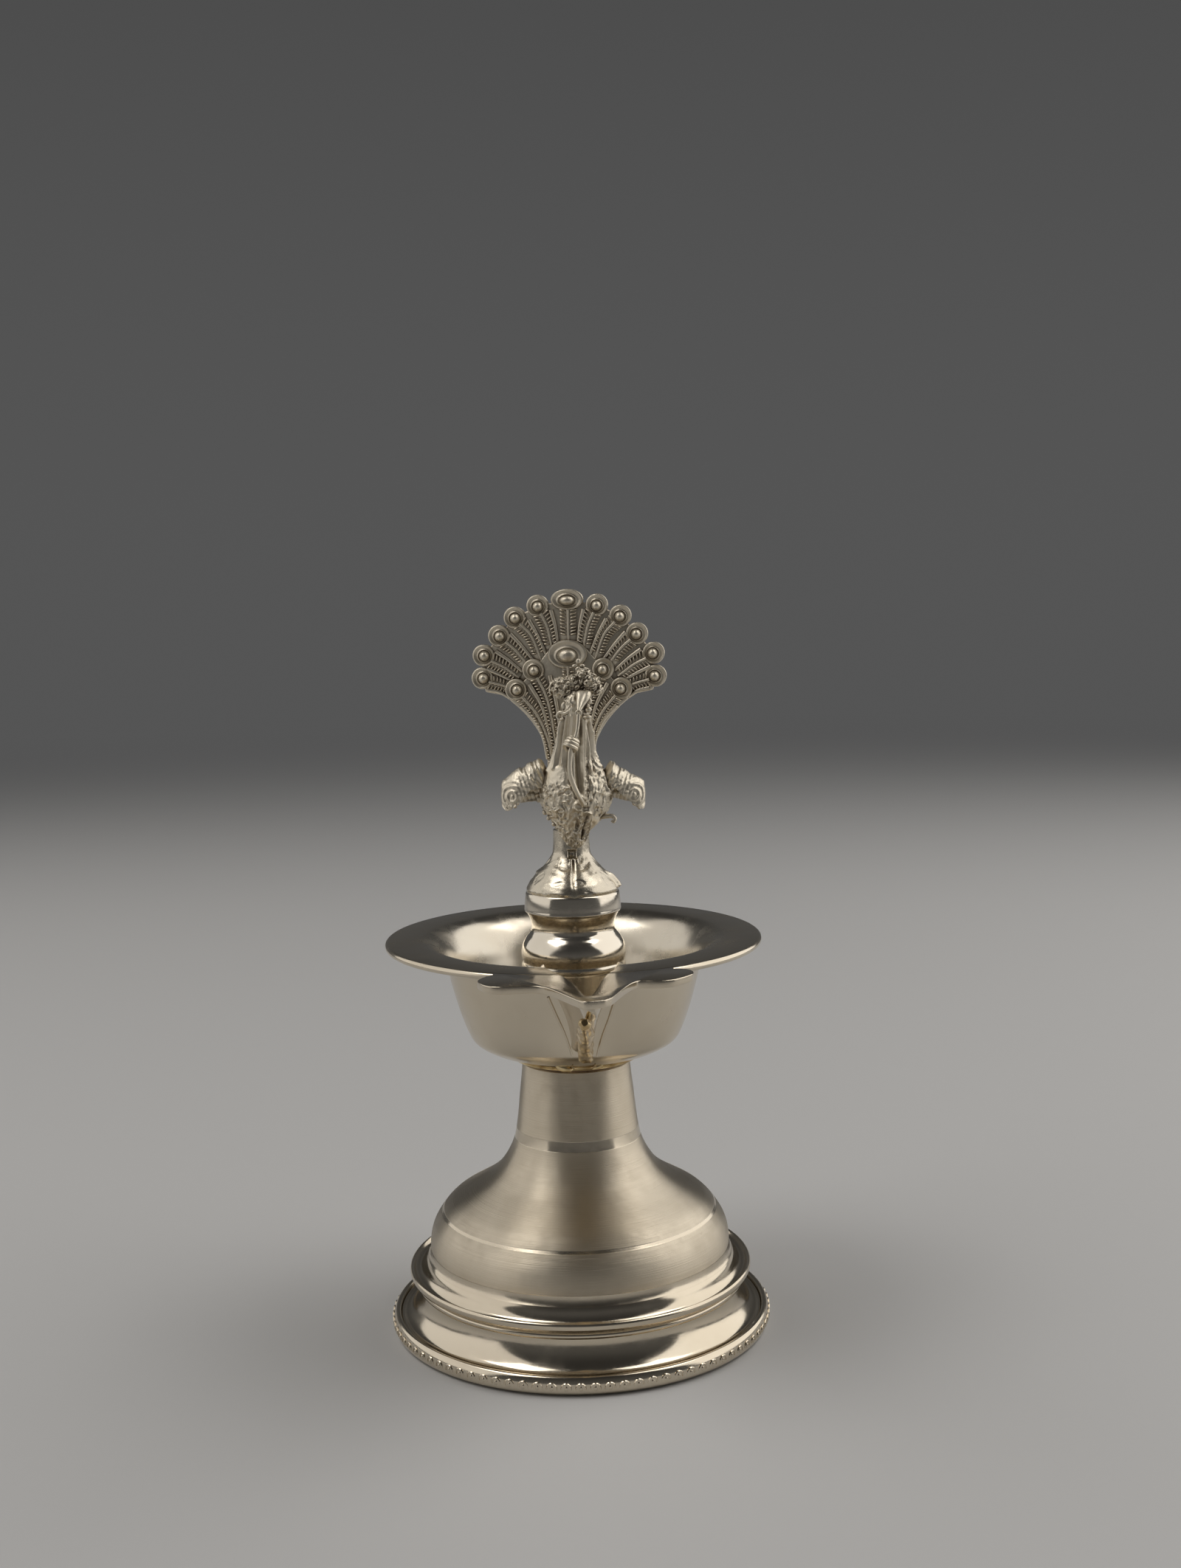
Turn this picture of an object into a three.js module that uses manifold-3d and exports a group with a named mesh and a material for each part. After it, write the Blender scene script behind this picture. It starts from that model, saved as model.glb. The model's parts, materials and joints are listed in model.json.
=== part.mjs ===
// Peacock oil lamp: a screwed stack of a spun foot, an oil bowl with a wick spout and a cast finial.
// Millimetres, +Z up, origin at the centre of the foot's underside, spout and bird towards -Y.
import * as THREE from 'three';
import { mergeVertices } from 'three/addons/utils/BufferGeometryUtils.js';
import { ConvexGeometry } from 'three/addons/geometries/ConvexGeometry.js';
import Module from 'manifold-3d';

const wasm = await Module();
wasm.setup();

// Driving dimensions
const FOOT_R = 36; // widest radius, at the gadrooned wire
const FOOT_H = 13.4; // both stepped tiers together
const NECK_TOP = 50.2;
const NECK_R = 10.1; // at the top of the neck
const RIM_R = 35.05;
const RIM_Z = 74; // upper face of the bowl's flat rim
const BAND_R = 8.9; // widest band of the baluster
const BAND_TOP = 82.5;
const STEM_R = 3.36; // stem under the bird
const FAN_TOP = 138.4;
const FAN_HALF = 18; // half the width of the fanned tail

// Sheet, fits and the screw threads
const SHEET = 1; // spun sheet
const RIM_SHEET = 1.3; // wired edge of the rim and plate of the spout
const GAP = 0.3; // solder gap between neighbouring pieces
const REST = 0.1; // gap under a piece that rests flat on another
const SCREW_R = 2.9; // M6 thread over its crests
const SCREW_BORE_R = 3.25;
const NUT_R = 5.6; // corner radius of the hexagonal nuts
const FLANGE_R = 5; // soldered foot of a stud
const FLANGE_H = 0.6;

// How finely curved pieces are cut
const WIDE_SEGMENTS = 40;
const MIDDLE_SEGMENTS = 28;
const NARROW_SEGMENTS = 20;
const BIRD_SIDES = 16;

// The spout points slightly to the right of the viewer, and the fan is turned a little to the left
const SPOUT_TURN = THREE.MathUtils.degToRad(3.5);
const FAN_TURN = THREE.MathUtils.degToRad(-6);

const group = new THREE.Group();

function metal(color, roughness) {
  return new THREE.MeshStandardMaterial({ color, roughness, metalness: 1 });
}

const polishedSilver = metal(0xd9d2c4, 0.14);
const brushedSilver = metal(0xc9c1b0, 0.36);
const castSilver = metal(0xc4bcab, 0.48);
const goldenSolder = metal(0xc7a566, 0.3);
const screwBrass = metal(0xb59a5b, 0.35);
const fibre = new THREE.MeshStandardMaterial({ color: 0x7d4a33, roughness: 0.8, metalness: 0 });

function add(name, geometry, material, parent = group) {
  const mesh = new THREE.Mesh(geometry, material);
  mesh.name = name;
  parent.add(mesh);
  return mesh;
}

// Revolves a closed loop of [radius, height] points, or one that starts and ends on the axis
function turned(points, segments, closed = true) {
  const loop = points.map(([r, z]) => new THREE.Vector2(r, z));
  if (closed) loop.push(loop[0].clone());
  return new THREE.LatheGeometry(loop, segments).rotateX(Math.PI / 2);
}

// A flat ring, as [radius, height] points that run up the outside and down the inside
function ringLoop(inner, outer, low, high) {
  return [[outer, low], [outer, high], [inner, high], [inner, low]];
}

// A round wire's section
function wireLoop(r, z, wireR, sides) {
  return Array.from({ length: sides }, (_, i) => {
    const turn = (2 * Math.PI * (i + 0.5)) / sides;
    return [r + wireR * Math.cos(turn), z + wireR * Math.sin(turn)];
  });
}

// Moves an open [radius, height] line sideways, to its left as it runs, by the given distance
function offsetLine(points, distance) {
  return points.map(([r, z], i) => {
    const before = points[Math.max(i - 1, 0)];
    const after = points[Math.min(i + 1, points.length - 1)];
    const run = Math.hypot(after[0] - before[0], after[1] - before[1]);
    return [
      r - (distance * (after[1] - before[1])) / run,
      z + (distance * (after[0] - before[0])) / run,
    ];
  });
}

function toSolid(geometry) {
  const bare = geometry.index ? geometry.toNonIndexed() : geometry.clone();
  bare.deleteAttribute('normal');
  bare.deleteAttribute('uv');
  const merged = mergeVertices(bare, 1e-4);
  return new wasm.Manifold(new wasm.Mesh({
    numProp: 3,
    vertProperties: Float32Array.from(merged.attributes.position.array),
    triVerts: Uint32Array.from(merged.index.array),
  }));
}

function toGeometry(solid) {
  const { vertProperties, triVerts } = solid.getMesh();
  const geometry = new THREE.BufferGeometry();
  geometry.setAttribute('position', new THREE.BufferAttribute(vertProperties, 3));
  geometry.setIndex(new THREE.BufferAttribute(triVerts, 1));
  geometry.computeVertexNormals();
  return geometry;
}

function joined(geometries) {
  return geometries.map(toSolid).reduce((whole, piece) => whole.add(piece));
}

function hull(points) {
  return new ConvexGeometry(points.map((p) => new THREE.Vector3(...p)));
}

// A closed skin over rings of the same number of points, with a fan over each end
function skin(rings) {
  const sides = rings[0].length;
  const middle = (ring) => ring
    .reduce((sum, p) => sum.add(p), new THREE.Vector3())
    .divideScalar(sides);
  const points = [...rings.flat(), middle(rings[0]), middle(rings.at(-1))];
  const index = [];
  for (let side = 0; side < sides; side++) {
    const next = (side + 1) % sides;
    for (let ring = 0; ring < rings.length - 1; ring++) {
      const low = ring * sides;
      const high = low + sides;
      index.push(low + side, low + next, high + next, low + side, high + next, high + side);
    }
    const top = (rings.length - 1) * sides;
    index.push(points.length - 2, next, side, points.length - 1, top + side, top + next);
  }
  const geometry = new THREE.BufferGeometry().setFromPoints(points);
  geometry.setIndex(index);
  return geometry;
}

// Foot: lower tier with its hem, plate that closes it, gadrooned wire, bead wire and upper tier
const HEM_R = FOOT_R - 1.8; // where the foot's sheet ends inside the gadrooned wire
const HEM_W = 1.6;
const PLATE_H = 0.8;

function footTier() {
  const outside = [
    [HEM_R, 0], [HEM_R, 3], [33.4, 2.6], [32, 3], [30.8, 4.2], [30, 5.7], [29.7, 7.2], [29.8, 8],
  ];
  const hemInner = HEM_R - HEM_W;
  const inside = [
    [28.7, 8], [28.6, 7], [29, 5.2], [30, 3.4], [31.4, 2], [hemInner, PLATE_H + GAP], [hemInner, 0],
  ];
  return turned([...outside, ...inside], WIDE_SEGMENTS);
}

function basePlate() {
  const outer = HEM_R - HEM_W - GAP;
  return turned([[0, 0], [outer, 0], [outer, PLATE_H], [0, PLATE_H]], WIDE_SEGMENTS, false);
}

function gadroonWire() {
  const inner = HEM_R + GAP;
  return turned([
    [inner, 0.4], [35.2, 0.4], [35.8, 1.1], [FOOT_R, 2], [35.8, 2.9], [35.3, 3.5], [inner, 3.4],
  ], WIDE_SEGMENTS);
}

const TIER_TOP_Z = 11.7; // upturned lip of the upper tier

function middleTier() {
  return turned([
    [29.2, 9.8], [31.1, 9.8], [31.9, 10.1], [32.3, 10.8], [32.3, 11.4], [31.9, TIER_TOP_Z],
    [31.4, 11.2], [30.8, 10.9], [29.9, 11.3], [29.3, 12.2], [29.1, FOOT_H - GAP],
    [28, FOOT_H - GAP], [28.1, 11.4], [28.5, 10.3],
  ], WIDE_SEGMENTS);
}

// Drum, dome and neck, spun from one sheet
const DOME_LINE = [
  [28.8, FOOT_H], [28.35, 14.4], [28.29, 16], [28.02, 18], [27.5, 19.5], [26.6, 21], [25.5, 22.5],
  [24, 24], [21.6, 25.5], [19, 27], [16.8, 28.5], [15, 30], [13.95, 31.5], [13, 33], [12.1, 35],
  [11.5, 37.5], [11.1, 41], [10.6, 45.5], [NECK_R, NECK_TOP],
];

function domeShell() {
  const inside = offsetLine(DOME_LINE, SHEET).filter((_, i) => i % 2 === 0).reverse();
  inside[0][1] = NECK_TOP;
  inside[inside.length - 1][1] = FOOT_H;
  return turned([...DOME_LINE, ...inside], WIDE_SEGMENTS);
}

// Cap and nut inside the neck, washer on its top edge
const CAP_H = 1;
const NUT_H = 5.3;

function nut(low, high) {
  const corners = 6;
  const outline = new THREE.Shape();
  for (let i = 0; i < corners; i++) {
    const turn = (2 * Math.PI * i) / corners;
    const move = i ? 'lineTo' : 'moveTo';
    outline[move](NUT_R * Math.cos(turn), NUT_R * Math.sin(turn));
  }
  outline.holes.push(new THREE.Path().absarc(0, 0, SCREW_BORE_R, 0, 2 * Math.PI, true));
  const settings = { depth: high - low, bevelEnabled: false, curveSegments: NARROW_SEGMENTS };
  return new THREE.ExtrudeGeometry(outline, settings).translate(0, 0, low);
}

function neckCap() {
  const outer = NECK_R - SHEET - GAP;
  return turned(ringLoop(SCREW_BORE_R, outer, NECK_TOP - CAP_H, NECK_TOP), MIDDLE_SEGMENTS);
}

const WASHER_H = 0.6;
const COLLAR_LOW = NECK_TOP + REST + WASHER_H + REST;
const COLLAR_R = 11.7;
const COLLAR_H = 0.6;

function washer(inner, outer, low) {
  return turned(ringLoop(inner, outer, low, low + WASHER_H), MIDDLE_SEGMENTS);
}

// Bowl: a spun cup with a rolled shoulder, a flat rim, and a notch where the spout opens into it
const BOWL_LOW = COLLAR_LOW + COLLAR_H + REST;
const FLOOR_Z = BOWL_LOW + SHEET;
const SHOULDER_R = 28.7; // where the flat rim starts to roll down into the cup

const CUP_LINE = [
  [11, BOWL_LOW], [14.6, 52.6], [18, 53.9], [19.9, 55.9], [20.8, 58.5], [21.9, 61.8],
  [22.8, 65], [23.6, 68.5], [24.5, 70.7], [26.2, 72.2], [SHOULDER_R, RIM_Z - RIM_SHEET],
];

function bowlLathe() {
  const inside = offsetLine(CUP_LINE, SHEET);
  inside[0] = [11, FLOOR_Z];
  inside[inside.length - 1] = [SHOULDER_R, RIM_Z];
  return turned([
    [0, BOWL_LOW], ...CUP_LINE, [RIM_R - 0.2, RIM_Z - RIM_SHEET], [RIM_R, RIM_Z - 0.9],
    [RIM_R, RIM_Z - 0.3], [RIM_R - 0.2, RIM_Z], ...inside.reverse(), [0, FLOOR_Z],
  ], WIDE_SEGMENTS, false);
}

// Everything that the outside of the cup fills, grown by the solder gap, for pieces fitted against it
function cupFilled() {
  const grown = offsetLine(CUP_LINE, -GAP);
  const top = RIM_Z - RIM_SHEET - GAP;
  const wall = grown.filter(([, z]) => z < top);
  const low = BOWL_LOW - GAP;
  return toSolid(turned([
    [0, low - 3], [COLLAR_R + GAP, low - 3], [COLLAR_R + GAP, low], ...wall.slice(1),
    [SHOULDER_R, top], [RIM_R + GAP, top], [RIM_R + GAP, RIM_Z + 3], [0, RIM_Z + 3],
  ], WIDE_SEGMENTS, false));
}

// The spout's folded prow: its upper edge lies under the plate, its keel runs from the cup's wall to the tip
const TIP_Y = 54.5;
const PROW_TIP_Y = 52.8;
const PROW_HALF = 7.6; // half width where the prow meets the cup's shoulder
const PROW_TIP_HALF = 1.6;
const KEEL_HALF = 2.1; // half width of the rounded keel at the cup, and at the tip
const KEEL_TIP_HALF = 1.1;
const PROW_STATIONS = 7;
const PROW_WALL = 0.9;
const PROW_TOP = RIM_Z - RIM_SHEET - GAP;

const keelLine = new THREE.QuadraticBezierCurve(
  new THREE.Vector2(16, 55.1),
  new THREE.Vector2(36, 63.2),
  new THREE.Vector2(PROW_TIP_Y, 71.1),
);

// A solid wedge between the prow's upper edge and its keel, its walls moved in by inset
function prowWedge(inset, top, lift) {
  const slope = (PROW_HALF - PROW_TIP_HALF) / (PROW_TIP_Y - 24);
  const rings = [];
  for (let i = 0; i <= PROW_STATIONS; i++) {
    const along = i / PROW_STATIONS;
    const keel = keelLine.getPoint(along);
    const half = Math.min(PROW_HALF, PROW_TIP_HALF + slope * (PROW_TIP_Y - keel.x)) - inset;
    const keelHalf = THREE.MathUtils.lerp(KEEL_HALF, KEEL_TIP_HALF, along) - 0.8 * inset;
    const low = keel.y + lift;
    rings.push([[half, top], [-half, top], [-keelHalf, low], [keelHalf, low]]
      .map(([x, z]) => new THREE.Vector3(x, -keel.x, z)));
  }
  return toSolid(skin(rings));
}

function spoutTrough() {
  const outer = prowWedge(0, PROW_TOP, 0);
  const inner = prowWedge(PROW_WALL, PROW_TOP + 2, PROW_WALL);
  const nose = toSolid(new THREE.BoxGeometry(20, 4, 20).translate(0, -PROW_TIP_Y, 74));
  return toGeometry(outer.subtract(inner.subtract(nose)).subtract(cupFilled()));
}

function notch() {
  const floorZ = 62.5;
  return toSolid(hull([
    [7.2, -27.5, RIM_Z + 1], [-7.2, -27.5, RIM_Z + 1], [3.9, -37, RIM_Z + 1], [-3.9, -37, RIM_Z + 1],
    [6, -18, RIM_Z + 1], [-6, -18, RIM_Z + 1], [1.2, -18, floorZ], [-1.2, -18, floorZ],
    [1.2, -27, floorZ], [-1.2, -27, floorZ],
  ]));
}

function bowl() {
  return toGeometry(toSolid(bowlLathe()).subtract(notch()));
}

// Spout plate: a cusped brace outline outside the rim, open along the wick's groove
function spoutPlate() {
  const inner = RIM_R + GAP;
  const joinX = 15.2;
  const grooveX = 3.9;
  const joinAngle = Math.asin(joinX / inner);
  const grooveAngle = Math.asin(grooveX / inner);
  const down = -Math.PI / 2;
  const shape = new THREE.Shape();
  shape.moveTo(grooveX, -inner * Math.cos(grooveAngle));
  shape.absarc(0, 0, inner, down + grooveAngle, down + joinAngle, false);
  const flank = [
    [18.7, -33.6, 18, -37], [17, -41.5, 12, -41.5], [10, -41.5, 8.8, -40.9], [6.6, -43.2, 5.4, -46.4],
    [4, -50, 2.9, -52.8], [2.3, -TIP_Y, 1.2, -TIP_Y],
  ];
  for (const [bendX, bendY, x, y] of flank) shape.quadraticCurveTo(bendX, bendY, x, y);
  const ends = [[joinX, -inner * Math.cos(joinAngle)], ...flank.map(([, , x, y]) => [x, y])];
  shape.lineTo(-ends.at(-1)[0], ends.at(-1)[1]);
  for (let i = flank.length - 1; i >= 0; i--) {
    shape.quadraticCurveTo(-flank[i][0], flank[i][1], -ends[i][0], ends[i][1]);
  }
  shape.absarc(0, 0, inner, down - joinAngle, down - grooveAngle, false);
  shape.lineTo(-2.4, -40);
  shape.lineTo(-1, -50.5);
  shape.lineTo(1, -50.5);
  shape.lineTo(2.4, -40);
  const settings = { depth: RIM_SHEET, bevelEnabled: false, curveSegments: 4 };
  return new THREE.ExtrudeGeometry(shape, settings).translate(0, 0, RIM_Z - RIM_SHEET);
}

// Bead of solder along the keel
function keelSeam() {
  const beadR = 1.2;
  const sides = 8;
  const path = new THREE.CatmullRomCurve3([0.15, 0.35, 0.55, 0.75, 0.95].map((along) => {
    const point = keelLine.getPoint(along);
    const run = keelLine.getTangent(along);
    const away = beadR + GAP + 0.1;
    return new THREE.Vector3(0, -point.x - away * run.y, point.y - away * run.x);
  }));
  const section = new THREE.Shape(Array.from({ length: sides }, (_, i) => {
    const turn = (2 * Math.PI * i) / sides;
    return new THREE.Vector2(beadR * Math.cos(turn), beadR * Math.sin(turn));
  }));
  return new THREE.ExtrudeGeometry(section, { steps: 10, bevelEnabled: false, extrudePath: path });
}

// Screws: one hangs from the bowl into the neck's nut, one stands on the bowl's floor
const STUD_TOP = 60.2;
const SCREW_LOW = 42.5;

function stud(flangeLow, flangeHigh, shaftEnd) {
  const up = shaftEnd > flangeHigh;
  const tip = up ? shaftEnd - 0.6 : shaftEnd + 0.6;
  const shaft = [[SCREW_R, tip], [SCREW_R - 0.6, shaftEnd], [0, shaftEnd]];
  const loop = up
    ? [[0, flangeLow], [FLANGE_R, flangeLow], [FLANGE_R, flangeHigh], [SCREW_R, flangeHigh], ...shaft]
    : [...shaft.reverse(), [SCREW_R, flangeLow], [FLANGE_R, flangeLow], [FLANGE_R, flangeHigh],
      [0, flangeHigh]];
  return turned(loop, NARROW_SEGMENTS, false);
}

// Baluster: plinth, ringed bell, waist and polished band, hollow below for its nut and the stud
const BALUSTER_LOW = FLOOR_Z + REST + WASHER_H + REST;
const POCKET_R = NUT_R + 0.5;

function baluster() {
  return turned([
    [0, 64], [SCREW_BORE_R, 64], [SCREW_BORE_R, BALUSTER_LOW + 6], [POCKET_R, BALUSTER_LOW + 6],
    [POCKET_R, BALUSTER_LOW], [9.1, BALUSTER_LOW], [9.35, 54.6], [9.35, 67.9], [9.7, 68.3],
    [9.7, 69.2], [9.6, 69.6], [9.8, 71], [9.5, 72.6], [8.8, 73.9], [8, 75], [7.8, 75.9],
    [7.95, 77.2], [8.75, 78.8], [BAND_R, 79.8], [8.85, 81], [8.64, BAND_TOP], [0, BAND_TOP],
  ], MIDDLE_SEGMENTS, false);
}

const CONE_LINE = [
  [8.4, BAND_TOP + REST], [8, 83.7], [7.3, 84.8], [6.3, 85.9], [5.1, 87], [4.1, 88.1],
  [3.5, 89.6], [STEM_R, 91.4], [STEM_R, 94],
];

function leafCone() {
  return turned([[0, BAND_TOP + REST], ...CONE_LINE, [0, 94]], NARROW_SEGMENTS, false);
}

// Peacock: oval rings up through the breast, the neck and the head, as z, x, y, half width, half depth
const BIRD_RINGS = [
  [89.6, 0.6, -4.9, 0.7, 0.5], [91.6, 0.7, -4.4, 2.7, 2.2], [94, 0.8, -3, 5, 4.6],
  [96.5, 0.9, -2.4, 6.6, 5.9], [99.5, 1, -2.2, 6.9, 6.4], [102.5, 0.9, -2.4, 6.3, 6.1],
  [105, 0.7, -2.8, 5.4, 5.2], [107.5, 0.7, -3.3, 4.3, 4.1], [110.5, 1, -4.1, 3.6, 3.3],
  [113.5, 1.6, -5, 2.8, 2.7], [115.6, 2.2, -5.8, 2.4, 2.6], [117.6, 2.5, -6.4, 2.4, 2.9],
  [119.3, 2.4, -6.3, 1.9, 2.3], [120.3, 2.3, -6.1, 0.8, 1],
];

function birdSkin(grow) {
  return skin(BIRD_RINGS.map(([z, x, y, halfX, halfY]) => Array.from({ length: BIRD_SIDES }, (_, i) => {
    const turn = (2 * Math.PI * i) / BIRD_SIDES;
    return new THREE.Vector3(
      x + (halfX + grow) * Math.cos(turn), y + (halfY + grow) * Math.sin(turn), z);
  })));
}

function beak() {
  const cone = new THREE.ConeGeometry(1.1, 4.2, 8);
  return cone.rotateX(Math.PI * 0.66).translate(2, -9.6, 116.2);
}

function peacockBody() {
  const stem = toSolid(turned([
    [0, BAND_TOP], ...offsetLine(CONE_LINE, -GAP), [0, 94 + GAP],
  ], NARROW_SEGMENTS, false));
  return toGeometry(joined([birdSkin(0), beak()]).subtract(stem));
}

// Crest: clustered beads over the head
const CREST_BEADS = [
  [1.4, 121.2, 2], [-1.2, 121, 1.7], [3.9, 121.4, 1.8], [0.1, 122.9, 1.5], [2.9, 123, 1.5],
];

function peacockCrest() {
  const beads = CREST_BEADS.map(([x, z, r]) => new THREE.IcosahedronGeometry(r, 1).translate(x, -5.4, z));
  return toGeometry(joined(beads).subtract(toSolid(birdSkin(GAP))));
}

// Tail: a thin plate whose upper edge is scalloped by the eyes at the feathers' ends
const FAN_THICK = 1.6;
const FAN_Y = 2.8; // back face
const EYE_R = 2.05;
const BIG_EYE_R = 2.8;
const OUTER_EYES = [[16.1, 122], [15.8, 126.5], [12.8, 130], [9.7, 133.2], [5.5, 135.2]];
const INNER_EYES = [[9.65, 120], [6.4, 123.5]];
const BIG_EYES = [[0, FAN_TOP - BIG_EYE_R], [0, 126.5]];

function fanOutline() {
  const half = new THREE.Path();
  half.moveTo(4.2, 100);
  half.lineTo(4.6, 109);
  half.quadraticCurveTo(5.4, 114, 10.6, 117.8);
  half.quadraticCurveTo(13.4, 119.6, FAN_HALF - 1.6, 120.4);
  OUTER_EYES.forEach(([x, z]) => half.lineTo(x, z));
  half.lineTo(0, FAN_TOP - BIG_EYE_R);
  const right = half.getPoints(5);
  const left = right.slice(0, -1).reverse().map((p) => new THREE.Vector2(-p.x, p.y));
  return new THREE.Shape([...right, ...left]);
}

// Turns a flat shape drawn in x and z to stand upright, with its back face at FAN_Y
function stand(geometry) {
  return geometry.rotateX(Math.PI / 2).translate(0, FAN_Y, 0);
}

function eyeDisc(x, z, r, rise) {
  const proud = FAN_THICK + rise;
  const disc = new THREE.CylinderGeometry(r, r, FAN_THICK, 14).translate(x, FAN_Y - FAN_THICK / 2, z);
  const boss = new THREE.CylinderGeometry(r * 0.7, r * 0.42, proud, 10);
  return [disc, boss.translate(x, FAN_Y - proud / 2, z)];
}

function tailFan() {
  const settings = { depth: FAN_THICK, bevelEnabled: false };
  const plate = stand(new THREE.ExtrudeGeometry(fanOutline(), settings));
  const mirrored = [...OUTER_EYES, ...INNER_EYES].flatMap(([x, z]) => [[x, z], [-x, z]]);
  const discs = [
    ...mirrored.flatMap(([x, z]) => eyeDisc(x, z, EYE_R, 0.6)),
    ...BIG_EYES.flatMap(([x, z]) => eyeDisc(x, z, BIG_EYE_R, 0.8)),
  ];
  const fan = joined([plate, ...discs]);
  const turnedFan = toSolid(toGeometry(fan).rotateZ(FAN_TURN));
  return toGeometry(turnedFan.subtract(toSolid(birdSkin(GAP))));
}

// Wing: a small cupped shell that droops from the shoulder, hollow underneath
const WING_REACH = 9.4;
const WING_Z = 102.6;
const WING_DROOP = THREE.MathUtils.degToRad(31);

function wing(side) {
  const place = (geometry) => geometry
    .rotateY(WING_DROOP * side)
    .translate(0.6 + WING_REACH * side, -1.5, WING_Z);
  const shell = new THREE.SphereGeometry(1, 14, 9).scale(5, 4, 2.9);
  const hollow = new THREE.SphereGeometry(1, 12, 8).scale(4.1, 3.1, 2.4).translate(0, 0, -1.5);
  const solid = toSolid(place(shell)).subtract(toSolid(place(hollow)));
  return toGeometry(solid.subtract(toSolid(birdSkin(GAP))));
}

// Strand from the beak to the breast, and the banded knot that it hangs through
const STRAND_PATH = new THREE.CatmullRomCurve3([
  [1.5, -12, 114.4], [0.9, -12.3, 112.8], [0.3, -12.2, 110.7], [-0.2, -12, 108], [0, -11.8, 104.6],
  [1.2, -11, 101.4], [2.4, -9.9, 99.4],
].map((p) => new THREE.Vector3(...p)));

function beakStrand() {
  const radius = 0.55;
  const sides = 6;
  const section = new THREE.Shape(Array.from({ length: sides }, (_, i) => {
    const turn = (2 * Math.PI * i) / sides;
    return new THREE.Vector2(radius * Math.cos(turn), radius * Math.sin(turn));
  }));
  return new THREE.ExtrudeGeometry(section, { steps: 14, bevelEnabled: false, extrudePath: STRAND_PATH });
}

function strandKnot() {
  const ring = turned([
    [0.95, -1.1], [1.5, -1.1], [1.8, -0.7], [1.5, -0.3], [1.8, 0], [1.5, 0.3], [1.8, 0.7],
    [1.5, 1.1], [0.95, 1.1],
  ], 12);
  return ring.rotateX(THREE.MathUtils.degToRad(-4)).rotateY(0.22).translate(0.3, -12.2, 110.7);
}

// Foot and neck, which stand on the table
add('foot_tier', footTier(), polishedSilver);
add('base_plate', basePlate(), polishedSilver);
add('gadroon_wire', gadroonWire(), polishedSilver);
add('bead_wire', turned(wireLoop(30.5, 8.95, 0.6, 8), WIDE_SEGMENTS), polishedSilver);
add('middle_tier', middleTier(), polishedSilver);
add('dome_shell', domeShell(), brushedSilver);
add('neck_cap', neckCap(), screwBrass);
add('neck_nut', nut(NECK_TOP - CAP_H - NUT_H, NECK_TOP - CAP_H - REST), screwBrass);

// Washer under the bowl, and the bowl with its screw, spout and stud
add('seat_washer', washer(FLANGE_R + 0.5, NECK_R - 0.4, NECK_TOP + REST), fibre);
const bowlGroup = new THREE.Group();
bowlGroup.rotation.z = SPOUT_TURN;
group.add(bowlGroup);
const collarLoop = ringLoop(FLANGE_R + GAP, COLLAR_R, COLLAR_LOW, COLLAR_LOW + COLLAR_H);
add('bowl_collar', turned(collarLoop, MIDDLE_SEGMENTS), goldenSolder, bowlGroup);
add('neck_screw', stud(COLLAR_LOW, COLLAR_LOW + FLANGE_H, SCREW_LOW), screwBrass, bowlGroup);
add('bowl', bowl(), polishedSilver, bowlGroup);
add('spout_plate', spoutPlate(), polishedSilver, bowlGroup);
add('spout_trough', spoutTrough(), polishedSilver, bowlGroup);
add('keel_seam', keelSeam(), goldenSolder, bowlGroup);
add('finial_stud', stud(FLOOR_Z + REST, FLOOR_Z + REST + FLANGE_H, STUD_TOP), screwBrass, bowlGroup);

// Washer on the bowl's floor, and the finial that screws down on it
add('oil_washer', washer(FLANGE_R + 0.5, 8.6, FLOOR_Z + REST), fibre);
add('finial_nut', nut(BALUSTER_LOW + 0.2, BALUSTER_LOW + 0.2 + NUT_H), screwBrass);
add('baluster', baluster(), polishedSilver);
add('leaf_cone', leafCone(), castSilver);
add('peacock_body', peacockBody(), castSilver);
add('peacock_crest', peacockCrest(), castSilver);
add('tail_fan', tailFan(), castSilver);
add('left_wing', wing(-1), castSilver);
add('right_wing', wing(1), castSilver);
add('beak_strand', beakStrand(), castSilver);
add('strand_knot', strandKnot(), castSilver);

export default group;
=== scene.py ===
"""Peacock oil lamp in silver: the looks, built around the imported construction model."""

import json
import logging
import math
from collections.abc import Callable, Iterator
from contextlib import contextmanager
from dataclasses import dataclass
from enum import Enum

import bpy
from mathutils import Matrix, Vector, noise

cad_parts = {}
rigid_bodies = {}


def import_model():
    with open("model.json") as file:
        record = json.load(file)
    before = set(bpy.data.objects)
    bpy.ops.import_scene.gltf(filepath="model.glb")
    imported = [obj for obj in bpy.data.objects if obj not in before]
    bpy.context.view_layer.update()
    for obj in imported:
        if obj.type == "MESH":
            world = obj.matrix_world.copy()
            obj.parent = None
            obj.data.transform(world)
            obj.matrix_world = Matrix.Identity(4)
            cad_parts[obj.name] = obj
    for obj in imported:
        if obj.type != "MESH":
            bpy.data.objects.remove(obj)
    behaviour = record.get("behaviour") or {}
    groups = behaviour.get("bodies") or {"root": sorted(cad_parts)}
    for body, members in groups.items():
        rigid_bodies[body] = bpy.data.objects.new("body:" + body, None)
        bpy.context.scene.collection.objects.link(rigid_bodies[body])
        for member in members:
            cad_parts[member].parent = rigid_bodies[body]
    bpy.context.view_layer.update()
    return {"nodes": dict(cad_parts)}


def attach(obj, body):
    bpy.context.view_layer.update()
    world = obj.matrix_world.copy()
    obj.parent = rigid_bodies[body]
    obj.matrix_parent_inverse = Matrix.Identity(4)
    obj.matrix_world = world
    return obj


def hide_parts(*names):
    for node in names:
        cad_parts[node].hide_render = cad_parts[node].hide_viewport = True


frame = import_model()

log = logging.getLogger("lamp")
MM = 0.001
# Fixes the noise of the cast relief, which otherwise differs from run to run
RELIEF_SEED = 11
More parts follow.
